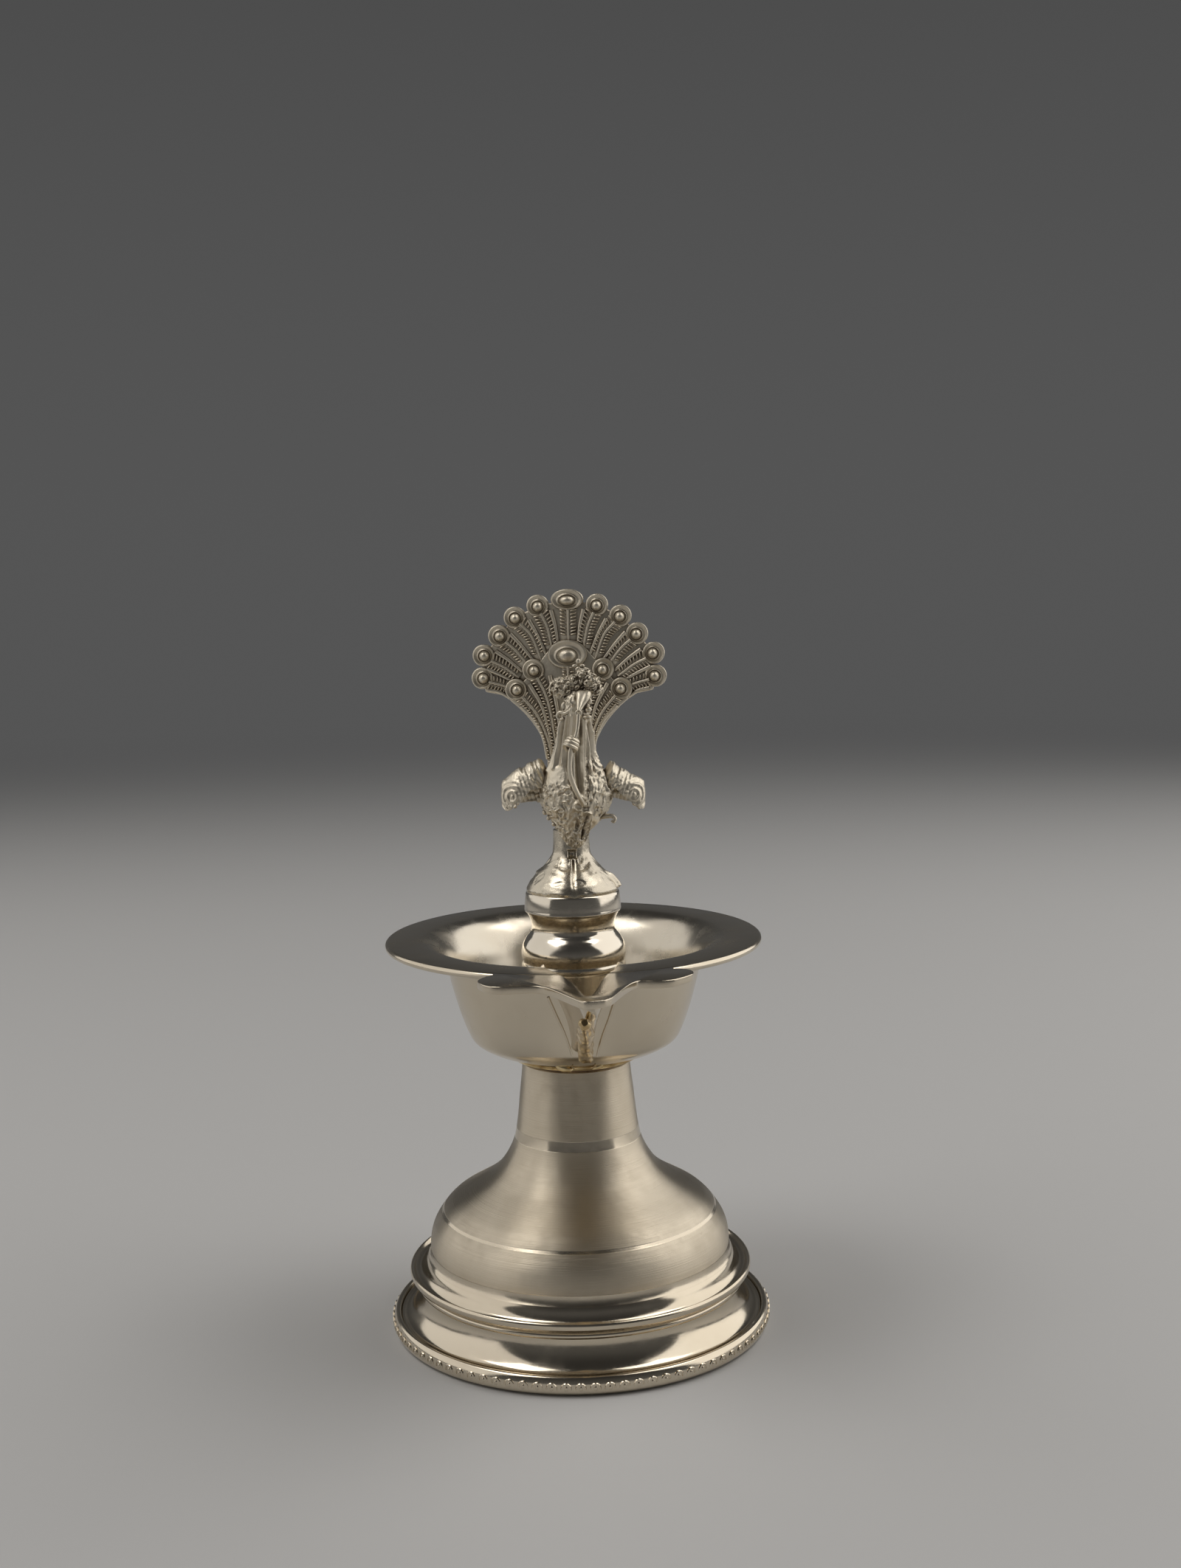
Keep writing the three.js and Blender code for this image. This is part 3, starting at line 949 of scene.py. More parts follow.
@dataclass(frozen=True)
class Brass:
    """Machined brass with turning marks and dull patches."""

    name: str
    colour: Place = (0.66, 0.52, 0.27)
    shade: Place = (0.34, 0.25, 0.13)
    roughness: float = 0.3

    def build(self) -> bpy.types.Material:
        """Builds the material.

        Returns:
            The material.
        """
        graph = Graph(self.name)
        marks = graph.noise(graph.stretched((0, 0, 0), (120.0, 120.0, 9000.0)), 1.0, 2.0)
        patches = graph.ramp(graph.noise(graph.objects(), 300.0, 4.0, 0.6), 0.4, 0.75)
        colour = graph.mix(patches, self.colour, self.shade)
        gloss = graph.math("MULTIPLY_ADD", patches, 0.2, self.roughness)
        return graph.close(colour, gloss, graph.bump(marks, 0.02 * MM, 0.5))


@dataclass(frozen=True)
class Leather:
    """Oiled leather of the washers."""

    name: str
    colour: Place = (0.23, 0.12, 0.07)
    shade: Place = (0.09, 0.045, 0.025)

    def build(self) -> bpy.types.Material:
        """Builds the material.

        Returns:
            The material.
        """
        graph = Graph(self.name)
        pores = graph.node("TexVoronoi", {"Vector": graph.objects(), "Scale": 2600.0}).outputs["Distance"]
        stains = graph.noise(graph.objects(), 400.0, 4.0, 0.6)
        colour = graph.mix(graph.ramp(stains, 0.35, 0.7), self.colour, self.shade)
        gloss = graph.ramp(stains, 0.3, 0.7, 0.45, 0.75)
        return graph.close(colour, gloss, graph.bump(pores, 0.05 * MM, 0.7), metal=0.0)


class Finishes:
    """Every finish of the lamp, built once."""

    def __init__(self) -> None:
        """Builds the materials."""
        self.polished = Silver("polished_silver_finish").build()
        self.rim = Silver("rim_silver_finish", roughness=0.12, scratches=0.0, smudge=0.14,
                          brushed=0.15).build()
        self.cup = Silver("cup_silver_finish", colour=(0.64, 0.59, 0.50), roughness=0.22, scratches=0.0,
                          smudge=0.14, waviness=0.6).build()
        self.brushed = Silver("brushed_silver_finish", roughness=0.17, scratches=0.1, waviness=0.2,
                              brushed=1.0, bands=((21.9, 22.4), (35.8, 37.7), (0.0, 15.2))).build()
        self.cast = CastSilver("cast_silver_finish").build()
        self.cone = CastSilver("cone_silver_finish", colour=(0.60, 0.545, 0.445), roughness=0.28, reach=0.7,
                               grain=0.15).build()
        # A lighter copy of the polished silver: painted light, standing in for brighter reflections on the
        # bell and waist of the same silver.
        self.baluster = Silver("baluster_painted_light_silver_finish", colour=(0.735, 0.675, 0.575),
                               shade=(0.64, 0.57, 0.46)).build()
        self.solder = Solder("golden_solder_finish").build()
        self.brass = Brass("screw_brass_finish").build()
        self.leather = Leather("washer_leather_finish").build()


def dress(obj: bpy.types.Object, material: bpy.types.Material) -> None:
    """Gives an object one material.

    Args:
        obj: The object.
        material: Its material.
    """
    obj.data.materials.clear()
    obj.data.materials.append(material)


# Foot and neck


@dataclass
class Foot:
    """The stepped foot: lower tier, gadrooned wire, bead wire and upper tier."""

    finishes: Finishes
    body: str = "base"
    hem_r: float = 34.2
    motifs: int = 88
    shell_r: float = 35.73
    shell_z: float = 1.75

    def build(self) -> None:
        """Builds and dresses the foot's pieces."""
        self.lower_tier()
        self.gadroon_wire()
        self.bead_wire()
        self.upper_tier()

    def lower_tier(self) -> None:
        """Turns the lower tier, from its hem over the trough and up the cavetto."""
        skin = [
            (self.hem_r, 0.0), (self.hem_r, 2.6), *arc((33.9, 2.7), 0.3, 0, 90, 3),
            *smooth_run([(33.6, 2.9), (33.2, 2.65), (32.6, 2.72), (31.9, 3.1), (31.1, 3.95), (30.45, 5.0),
                         (30.0, 6.2), (29.75, 7.4), (29.75, 8.3)]),
        ]
        inside = [*smooth_run([(28.7, 8.3), (28.6, 7.0), (29.0, 5.2), (30.0, 3.4), (31.4, 2.0)]),
                  (32.6, 1.1), (32.6, 0.0)]
        tier = turn("foot_tier_sheet", [*skin, *inside])
        dress(tier, self.finishes.polished)
        place_on(tier, self.body, Slot.POLISHED, "foot_tier")

    def gadroon_wire(self) -> None:
        """Turns the wire round the foot's edge and strikes its row of arched shells."""
        section = smooth_run([(34.25, 0.35), (35.0, 0.3), (35.5, 0.75), (35.72, 1.5), (35.7, 2.3),
                              (35.5, 2.95), (35.2, 3.45), (34.8, 3.6), (34.4, 3.45), (34.25, 3.0)], 0.25)
        wire = turn("gadroon_wire_ring", section)
        shell = self.shell_motif()
        step = 2 * math.pi / self.motifs
        shells = [copy_of(shell, Matrix.Rotation(step * i, 4, "Z")) for i in range(self.motifs)]
        bpy.data.objects.remove(shell)
        whole = merge("gadroon_wire_band", [wire, *shells])
        dress(whole, self.finishes.polished)
        place_on(whole, self.body, Slot.POLISHED, "gadroon_wire")

    def shell_motif(self) -> bpy.types.Object:
        """Models one arched shell with its bead, on the wire's outer face.

        Returns:
            The motif, placed at the front of the turn.
        """
        deselect()
        bpy.ops.mesh.primitive_torus_add(major_segments=12, minor_segments=5, major_radius=0.84 * MM,
                                         minor_radius=0.15 * MM, location=(0, 0, 0),
                                         rotation=(0, math.pi / 2, 0))
        ring = newest("shell_arch")
        settle(ring)
        with opened(ring):
            bpy.ops.mesh.bisect(plane_co=(0, 0, -0.25 * MM), plane_no=(0, 0, 1), clear_inner=True,
                                use_fill=True)
        bead = ball("shell_bead", 0.4, (0, 0, -0.05), (0.4, 0.8, 1.15), faces=(8, 5))
        motif = merge("shell", [ring, bead])
        motif.data.transform(Matrix.Translation((self.shell_r * MM, 0, self.shell_z * MM)))
        soften(motif, 60)
        return motif

    def bead_wire(self) -> None:
        """Turns the thin bright wire under the upper tier."""
        wire = turn("bead_wire_ring", arc((30.4, 8.95), 0.68, 0, 337.5, 15))
        dress(wire, self.finishes.polished)
        place_on(wire, self.body, Slot.POLISHED, "bead_wire")

    def upper_tier(self) -> None:
        """Turns the upper tier: cove, trough and upturned rolled lip."""
        outside = smooth_run([(29.3, 9.6), (30.6, 9.65), (31.5, 9.85), (32.05, 10.3), (32.3, 10.95),
                              (32.25, 11.5), (31.95, 11.75), (31.6, 11.5), (31.2, 11.05), (30.6, 10.9),
                              (29.95, 11.25), (29.5, 11.95), (29.15, 12.9), (28.85, 13.45)], 0.25)
        inside = [(28.0, 13.4), (28.1, 11.4), (28.5, 9.9)]
        tier = turn("middle_tier_lip", [*outside, *inside])
        dress(tier, self.finishes.polished)
        place_on(tier, self.body, Slot.POLISHED, "middle_tier")


@dataclass
class Neck:
    """The spun drum, dome and neck, and what it holds inside."""

    finishes: Finishes
    body: str = "base"
    sheet: float = 1.0

    def build(self) -> None:
        """Builds the shell and dresses the hidden pieces."""
        drum = smooth_run([(28.85, 13.42), (28.5, 13.9), (28.32, 14.6), (28.26, 15.3), (28.28, 16.2),
                           (28.02, 18.0), (27.48, 19.6), (26.6, 21.1), (26.05, 21.9)])
        dome = smooth_run([(26.0, 21.9), (25.3, 22.8), (23.9, 24.1), (21.6, 25.5), (19.0, 27.0), (16.8, 28.5),
                           (15.1, 30.0), (13.95, 31.5), (13.05, 33.0), (12.15, 35.0), (11.6, 37.2),
                           (11.15, 40.2), (10.75, 44.0), (10.35, 47.5), (10.1, 50.2)])
        shell = turn("dome_shell_spun", sheet_section([*drum, *dome[1:]], self.sheet), steps=200)
        dress(shell, self.finishes.brushed)
        place_on(shell, self.body, Slot.BRUSHED, "dome_shell")
        for name in ("neck_cap", "neck_nut"):
            dress(frame["nodes"][name], self.finishes.brass)
        dress(frame["nodes"]["base_plate"], self.finishes.polished)
        dress(frame["nodes"]["seat_washer"], self.finishes.leather)


# Bowl and spout


@dataclass
class Bowl:
    """The oil bowl with its flat rim, its collar and the screws under and in it."""

    finishes: Finishes
    body: str = "bowl"
    turn_deg: float = 3.5
    inside_r: float = 28.2
    floor_z: float = 52.7

    def build(self) -> None:
        """Builds the bowl's own pieces and dresses the hidden ones."""
        self.cup()
        self.collar()
        for name in ("neck_screw", "finial_stud"):
            dress(frame["nodes"][name], self.finishes.brass)
        dress(frame["nodes"]["oil_washer"], self.finishes.leather)

    def cup(self) -> None:
        """Turns the cup with its rolled shoulder and flat rim, and cuts the notch for the spout."""
        outside = smooth_run([(9.0, 51.75), (11.5, 51.95), (14.6, 52.7), (17.3, 53.75), (19.2, 55.1),
                              (20.2, 57.0), (21.2, 59.7), (22.1, 62.6), (22.9, 65.6), (23.6, 68.4),
                              (24.4, 70.4), (25.7, 71.8), (27.3, 72.5), (28.9, 72.72)])
        inside = smooth_run([(28.9, 73.98), (27.7, 73.85), (26.2, 73.2), (24.7, 71.9), (23.5, 70.2),
                             (22.7, 68.4), (21.95, 65.6), (21.1, 62.6), (20.2, 59.7), (19.2, 57.4),
                             (17.9, 55.7), (15.8, 54.4), (12.9, 53.3), (10.0, 52.9), (8.0, 52.8)])
        rim = [(34.4, 72.72), *arc((34.4, 73.37), 0.65, -90, 90, 8)]
        section = [(0.0, 51.7), *outside, *rim, *inside, (0.0, 52.8)]
        cup = turn("bowl_cup", section, steps=240, closed=False)
        self.cut_notch(cup)
        cup.data.transform(Matrix.Rotation(math.radians(self.turn_deg), 4, "Z"))
        dress(cup, self.finishes.rim)
        cup.data.materials.append(self.finishes.cup)
        for face in cup.data.polygons:
            spot = face.center / MM
            looks_in = face.normal.x * spot.x + face.normal.y * spot.y < 0 or face.normal.z > 0.5
            face.material_index = int(looks_in and math.hypot(spot.x, spot.y) < self.inside_r
                                      and spot.z > self.floor_z)
        place_on(cup, self.body, Slot.POLISHED, "bowl")

    def cut_notch(self, cup: bpy.types.Object) -> None:
        """Cuts the notch through the cup's front and its rim, where the wick leaves.

        Args:
            cup: The turned cup.
        """
        corners = [(7.2, -27.5, 75), (-7.2, -27.5, 75), (-3.9, -37, 75), (3.9, -37, 75), (6, -18, 75),
                   (-6, -18, 75), (1.2, -18, 64.9), (-1.2, -18, 64.9), (-1.2, -27, 64.9), (1.2, -27, 64.9)]
        cutter = draw("notch_cutter", [tuple(Vector(corner) * MM) for corner in corners])
        with opened(cutter):
            bpy.ops.mesh.convex_hull()
        cut_away(cup, cutter)
        soften(cup)

    def collar(self) -> None:
        """Turns the thin disc under the bowl, its edge slightly uneven."""
        collar = turn("bowl_collar_disc", [(5.3, 51.05), (11.2, 50.95), (11.6, 51.1), (11.75, 51.4),
                                           (11.55, 51.7), (11.0, 51.85), (5.3, 51.75)], steps=120)
        dress(collar, self.finishes.solder)
        place_on(collar, self.body, Slot.SOLDER, "bowl_collar")


@dataclass
class Spout:
    """The wick spout: its cusped plate, the folded prow, the channel and the golden solder."""

    finishes: Finishes
    body: str = "bowl"
    turn_deg: float = 3.5
    top_z: float = 74.03
    plate_h: float = 1.3
    tip_y: float = 54.5
    prow_tip: float = 52.8
    prow_half: float = 7.6
    prow_tip_half: float = 1.6
    prow_wall: float = 0.9
    bead_out: float = 0.75

    def build(self) -> None:
        """Builds the spout's pieces."""
        self.plate()
        self.prow()
        self.bead()

    def turned_to_spout(self, obj: bpy.types.Object) -> None:
        """Turns a piece to the side that the spout points to."""
        obj.data.transform(Matrix.Rotation(math.radians(self.turn_deg), 4, "Z"))

    def outline(self) -> list[Point]:
        """Draws the plate's outline, across and outwards: a broad lobe on each side of the pointed tip.

        Returns:
            The closed outline's points.
        """
        inner, join, groove = 34.75, 15.4, 3.9
        rim = [math.asin(groove / inner), math.asin(join / inner)]
        turns = [rim[0] + (rim[1] - rim[0]) * i / 8 for i in range(9)]
        right = [(inner * math.sin(t), inner * math.cos(t)) for t in turns]
        left = [(-x, out) for x, out in right]
        right += smooth_run([(15.4, 32.2), (17.0, 32.6), (18.1, 33.7), (18.4, 35.3), (18.0, 36.9),
                             (17.3, 38.0), (16.0, 39.4), (14.6, 40.6), (12.8, 41.3), (11.2, 41.3),
                             (9.9, 41.0), (8.7, 40.8), (7.6, 41.9), (6.4, 44.2), (5.0, 47.7), (4.0, 50.4),
                             (3.1, 52.6), (2.2, 53.7)], 0.5)
        left += smooth_run([(-15.4, 32.2), (-17.2, 34.4), (-18.0, 36.6), (-17.5, 38.9), (-16.3, 41.0),
                            (-14.1, 42.0), (-11.6, 41.9), (-9.1, 41.9), (-7.5, 42.6), (-6.2, 44.4),
                            (-5.0, 46.9), (-3.8, 49.6), (-2.7, 52.1), (-1.9, 53.7), (-0.9, self.tip_y),
                            (0.5, 54.3), (2.2, 53.7)], 0.5)
        slot = [(1.0, 50.5), (2.4, 40.0)]
        return [*right, *left[::-1][1:], *[(-x, y) for x, y in reversed(slot)], *slot]

    def plate(self) -> None:
        """Cuts the plate from its outline and gives it rounded edges."""
        outline = [(x, -out, self.top_z) for x, out in self.outline()]
        plate = slab("spout_plate_sheet", outline, (0, 0, -self.plate_h))
        apply_modifier(plate, "BEVEL", width=0.16 * MM, segments=3, limit_method="ANGLE",
                       angle_limit=math.radians(40))
        soften(plate)
        self.turned_to_spout(plate)
        dress(plate, self.finishes.rim)
        place_on(plate, self.body, Slot.POLISHED, "spout_plate")

    def keel(self, share: float) -> tuple[Vector, Vector]:
        """Gives a point of the keel's line and its direction.

        Args:
            share: How far along it, from the cup's wall to the tip.

        Returns:
            The point and the direction, outwards and up.
        """
        a, b, c = Vector((16, 55.1)), Vector((36, 63.2)), Vector((self.prow_tip, 71.1))
        spot = a * (1 - share) ** 2 + b * 2 * share * (1 - share) + c * share ** 2
        return spot, ((b - a) * (1 - share) + (c - b) * share).normalized()

    def prow_point(self, u: float, v: float, inset: float) -> Place:
        """Places a point of the prow's skin.

        Args:
            u: The share across, from its left upper edge over the keel to its right one.
            v: The share along the keel.
            inset: How far inside the outer skin it lies, in millimetres.

        Returns:
            The point, in millimetres.
        """
        spot, _ = self.keel(v)
        slope = (self.prow_half - self.prow_tip_half) / (self.prow_tip - 24)
        nose = max(v - 0.9, 0.0) / 0.1
        shrink = math.sqrt(1 - nose * nose)
        half = min(self.prow_half, self.prow_tip_half + slope * (self.prow_tip - spot.x)) * shrink - inset
        blunt = (2.0 + (1.1 - 2.0) * v) * shrink - 0.6 * inset
        bow = abs(2 * u - 1)
        side = 1 if u > 0.5 else -1
        top = self.top_z - self.plate_h + 0.1
        low = top + (spot.y - top) * max(shrink, 0.35) + inset
        top += 2 * inset
        if bow < 0.3:
            swing = bow / 0.3 * math.radians(75)
            return side * blunt * math.sin(swing), -spot.x, low + 0.7 * blunt * (1 - math.cos(swing))
        rise = (bow - 0.3) / 0.7
        start = (blunt * math.sin(math.radians(75)), low + 0.7 * blunt * (1 - math.cos(math.radians(75))))
        flare = rise ** (1 + 0.9 * (1 - v))
        x = start[0] + (half - start[0]) * flare
        return side * x, -spot.x, start[1] + (top - start[1]) * rise

    def wedge(self, name: str, inset: float, reach: float) -> bpy.types.Object:
        """Shapes a closed wedge: the prow's outside or the hollow in it.

        Args:
            name: The new object's name.
            inset: How far inside the outer skin it lies, in millimetres.
            reach: How far along the keel it goes, up to 1.

        Returns:
            The closed wedge.
        """
        def rule(u: float, v: float) -> Place:
            """Places a point of the skin, or of the flat top that closes it."""
            if u < 0.801:
                return self.prow_point(min(u / 0.8, 1.0), v * reach, inset)
            left = Vector(self.prow_point(0.0, v * reach, inset))
            right = Vector(self.prow_point(1.0, v * reach, inset))
            return tuple(right + (left - right) * (u - 0.8) / 0.2)

        solid = shaped(name, 75, 70, rule)
        with opened(solid):
            bpy.ops.mesh.fill_holes(sides=0)
            point_out()
        return solid

    def channel_point(self, u: float, v: float) -> Place:
        """Places a point of the wick's channel.

        Args:
            u: The share across.
            v: The share from the bowl to the tip.

        Returns:
            The point, in millimetres.
        """
        out = 24.0 + (51.0 - 24.0) * v
        half, floor = along(out, [(24, 6.5, 64.6), (27.5, 7.0, 66.0), (34, 4.9, 68.6), (37, 3.95, 69.9),
                                  (40, 2.55, 71.0), (46, 1.8, 72.6), (51, 0.9, 73.4)])
        x = (2 * u - 1) * half
        edge = self.top_z - (0.1 if out > 34.8 else 0.28)
        return x, -out, floor + (edge - floor) * abs(2 * u - 1) ** 1.35

    def prow(self) -> None:
        """Folds the prow, fits it to the cup and lays the wick's channel in it."""
        prow = self.wedge("prow_folded", 0.0, 0.985)
        cup = turn("cup_filled", [(0, 48.5), (11.6, 48.5), (11.6, 51.8), (14.6, 52.9), (17.3, 53.95),
                                  (19.1, 55.3), (20.0, 57.2), (21.0, 59.9), (21.9, 62.8), (22.7, 65.8),
                                  (23.4, 68.6), (24.2, 70.6), (25.5, 72.0), (27.1, 72.7), (34.0, 72.9),
                                  (34.0, 78), (0, 78)],
                   steps=96, closed=False)
        for cutter in (cup, self.wedge("prow_hollow", self.prow_wall, 0.93)):
            cut_away(prow, cutter)
        log.info("the folded prow has %d faces", len(prow.data.polygons))
        channel = shaped("wick_channel", 28, 46, self.channel_point)
        face_away(channel, Vector((0, -0.036, 0.03)))
        apply_modifier(channel, "SOLIDIFY", thickness=0.35 * MM, offset=-1)
        creases = []
        for name, points in (("left_crease", [(-5.8, -22.65, 67.6), (-4.2, -22.0, 63.6), (-3.1, -21.3, 61.0),
                                              (-2.3, -20.6, 58.5), (-1.7, -19.9, 56.3)]),
                             ("right_crease", [(5.9, -22.45, 66.4), (4.9, -21.75, 63.2), (3.9, -21.1, 60.4),
                                               (3.2, -20.4, 57.8), (2.8, -19.6, 55.8)])):
            creases.append(tube(name, Route(points, 40), taper(0.26, 0.08), 10))
        whole = merge("spout_trough_folded", [prow, channel, *creases])
        soften(whole, 40)
        self.turned_to_spout(whole)
        dress(whole, self.finishes.polished)
        place_on(whole, self.body, Slot.POLISHED, "spout_trough")

    def bead(self) -> None:
        """Runs the solder bead down the keel, with the leaf-shaped fillets and the loop at its foot."""
        points = []
        for share in (0.985, 0.9, 0.78, 0.65, 0.52, 0.4, 0.28, 0.16, 0.13):
            spot, run = self.keel(share)
            sway = 0.7 - 0.056 * (spot.x - 20)
            points.append((sway, -spot.x - self.bead_out * run.y, spot.y - self.bead_out * run.x))
        route = Route(points, 110)

        def swell(share: float, angle: float) -> float:
            """Gives the bead's radius: a narrow head and three lobes with a nick above the lowest."""
            radius = along(share, [(0, 0.5), (0.04, 0.95), (0.12, 1.02), (0.2, 1.12), (0.27, 1.42),
                                   (0.38, 1.36), (0.5, 1.2), (0.6, 1.28), (0.66, 1.06), (0.72, 1.26),
                                   (0.84, 1.24), (0.93, 1.34), (0.98, 1.1), (1, 0.4)])[0]
            folds = 0.07 * math.sin(4 * angle + 5 * share) + 0.06 * math.sin(34 * share + 1)
            spot = Vector((3 * math.cos(angle), 3 * math.sin(angle), 26 * share))
            return radius * (1 + folds + 0.16 * noise.noise(spot * 0.55) + 0.07 * noise.noise(spot * 1.6))

        pieces = [tube("keel_bead", route, swell, 36)]
        for x, size, tilt in ((-2.9, 1.7, 20), (3.1, 1.2, -24)):
            pieces.append(ball("solder_leaf", size, (x, -14.0, 52.6), (1.0, 0.42, 0.55),
                               (-35, tilt, 0), (20, 12)))
        loop = Route([(-1.5, -17.4, 53.8), (-1.45, -15.7, 53.0), (-0.7, -14.4, 52.4), (0.6, -14.1, 52.3),
                      (1.9, -14.4, 52.4), (2.5, -15.7, 53.0), (2.55, -17.4, 53.8)], 40)
        pieces.append(tube("solder_loop", loop,
                           lambda share, _: 0.34 * math.sin(math.pi * (0.1 + 0.8 * share)), 12))
        whole = merge("keel_seam_bead", pieces)
        soften(whole, 70)
        self.turned_to_spout(whole)
        dress(whole, self.finishes.solder)
        place_on(whole, self.body, Slot.SOLDER, "keel_seam")


# Finial


@dataclass
class Finial:
    """The baluster and the leafy cone under the bird."""

    finishes: Finishes
    body: str = "finial"

    def build(self) -> None:
        """Builds the turned pieces of the finial."""
        plinth = [(9.0, 53.7), *smooth_run([(9.25, 54.0), (9.35, 56.0), (9.35, 60.0), (9.35, 67.4)])]
        ring = smooth_run([(9.35, 67.8), (9.65, 68.1), (9.74, 68.6), (9.66, 69.1), (9.5, 69.4)], 0.15)
        bell = smooth_run([(9.5, 69.5), (9.76, 70.6), (9.78, 71.3), (9.5, 72.6), (8.85, 73.8), (8.2, 74.6),
                           (8.02, 74.9)], 0.25)
        waist = smooth_run([(7.88, 75.05), (7.76, 75.8), (7.82, 76.7), (8.1, 77.7), (8.65, 78.7)], 0.25)
        band = smooth_run([(8.82, 78.8), (9.04, 79.05), (9.0, 79.45), (8.93, 80.6), (8.82, 81.6),
                           (8.66, 82.35), (8.5, 82.5)], 0.2)
        section = [(0.0, 64.0), (3.25, 64.0), (3.25, 59.65), (6.1, 59.65), (6.1, 53.7),
                   *plinth, *ring, *bell, *waist, *band, (0.0, 82.5)]
        baluster = turn("baluster_turned", section, closed=False)
        # The baluster's lighter silver is painted light, not a different metal.
        dress(baluster, self.finishes.baluster)
        place_on(baluster, self.body, Slot.POLISHED, "baluster")
        self.leaf_cone()
        dress(frame["nodes"]["finial_nut"], self.finishes.brass)

    def leaf_cone(self) -> None:
        """Turns the cone under the bird and works its four leaves."""
        line = smooth_run([(8.5, 82.3), (8.48, 82.7), (8.25, 83.3), (7.8, 84.1), (7.1, 85.0), (6.1, 86.1),
                           (5.0, 87.2), (4.1, 88.3), (3.55, 89.6), (3.36, 91.4), (3.36, 94.0)], 0.13)
        cone = turn("leaf_cone_cast", [(0.0, 82.3), *line, (0.0, 94.0)], steps=180, closed=False)
        for vertex in cone.data.vertices:
            x, y, z = vertex.co / MM
            radius = math.hypot(x, y)
            if radius > 0.5 and z > 82.35:
                rise = self.leaf_relief(x, y, z) / radius
                vertex.co.x += x * rise * MM
                vertex.co.y += y * rise * MM
        soften(cone, 60)
        dress(cone, self.finishes.cone)
        place_on(cone, self.body, Slot.CAST, "leaf_cone")

    def leaf_relief(self, x: float, y: float, z: float) -> float:
        """Gives the height of the cone's relief: four veined leaves, a crack in front, a slot and a thin fin.

        Args:
            x: The place across.
            y: The place in depth.
            z: The height.

        Returns:
            The height, in millimetres.
        """
        spot = Vector((x, y, z))
        swing = math.atan2(y, x)
        share = ((swing + math.pi / 2) / (math.pi / 2) - 0.04) % 1.0
        middle = abs(2 * share - 1)
        leaf = smooth(z, 82.5, 83.2) * (1 - smooth(z, 88.4, 89.8))
        height = leaf * 0.32 * (1 - middle ** 6)
        height += leaf * 0.06 * math.exp(-(middle / 0.07) ** 2)
        height += leaf * 0.02 * math.cos(2 * math.pi * (z / 1.25 + 0.9 * middle)) * (1 - middle ** 4)
        height -= leaf * 0.1 * (1 - smooth(worms(spot, 2.4, 2.0), 0.0, 0.16))
        height += 0.07 * noise.noise(spot * 0.5) + 0.015 * noise.noise(spot * 2.6)
        if y < 0:
            crack = math.exp(-((x - 0.3) / 0.2) ** 2) * smooth(z, 83.5, 85) * (1 - smooth(z, 88.6, 89.2))
            slot = math.exp(-((x - 0.12) / 0.75) ** 6 - ((z - 89.75) / 0.7) ** 6)
            height -= 0.4 * crack + 0.85 * slot
        fin = math.exp(-((swing + 0.12) / 0.07) ** 2)
        height += 0.9 * fin * smooth(z, 83.0, 83.5) * (1 - smooth(z, 85.6, 86.6))
        height += 0.45 * math.exp(-((abs(swing) - math.pi) / 0.25) ** 2 - ((z - 86.2) / 0.45) ** 2)
        return height


# Peacock


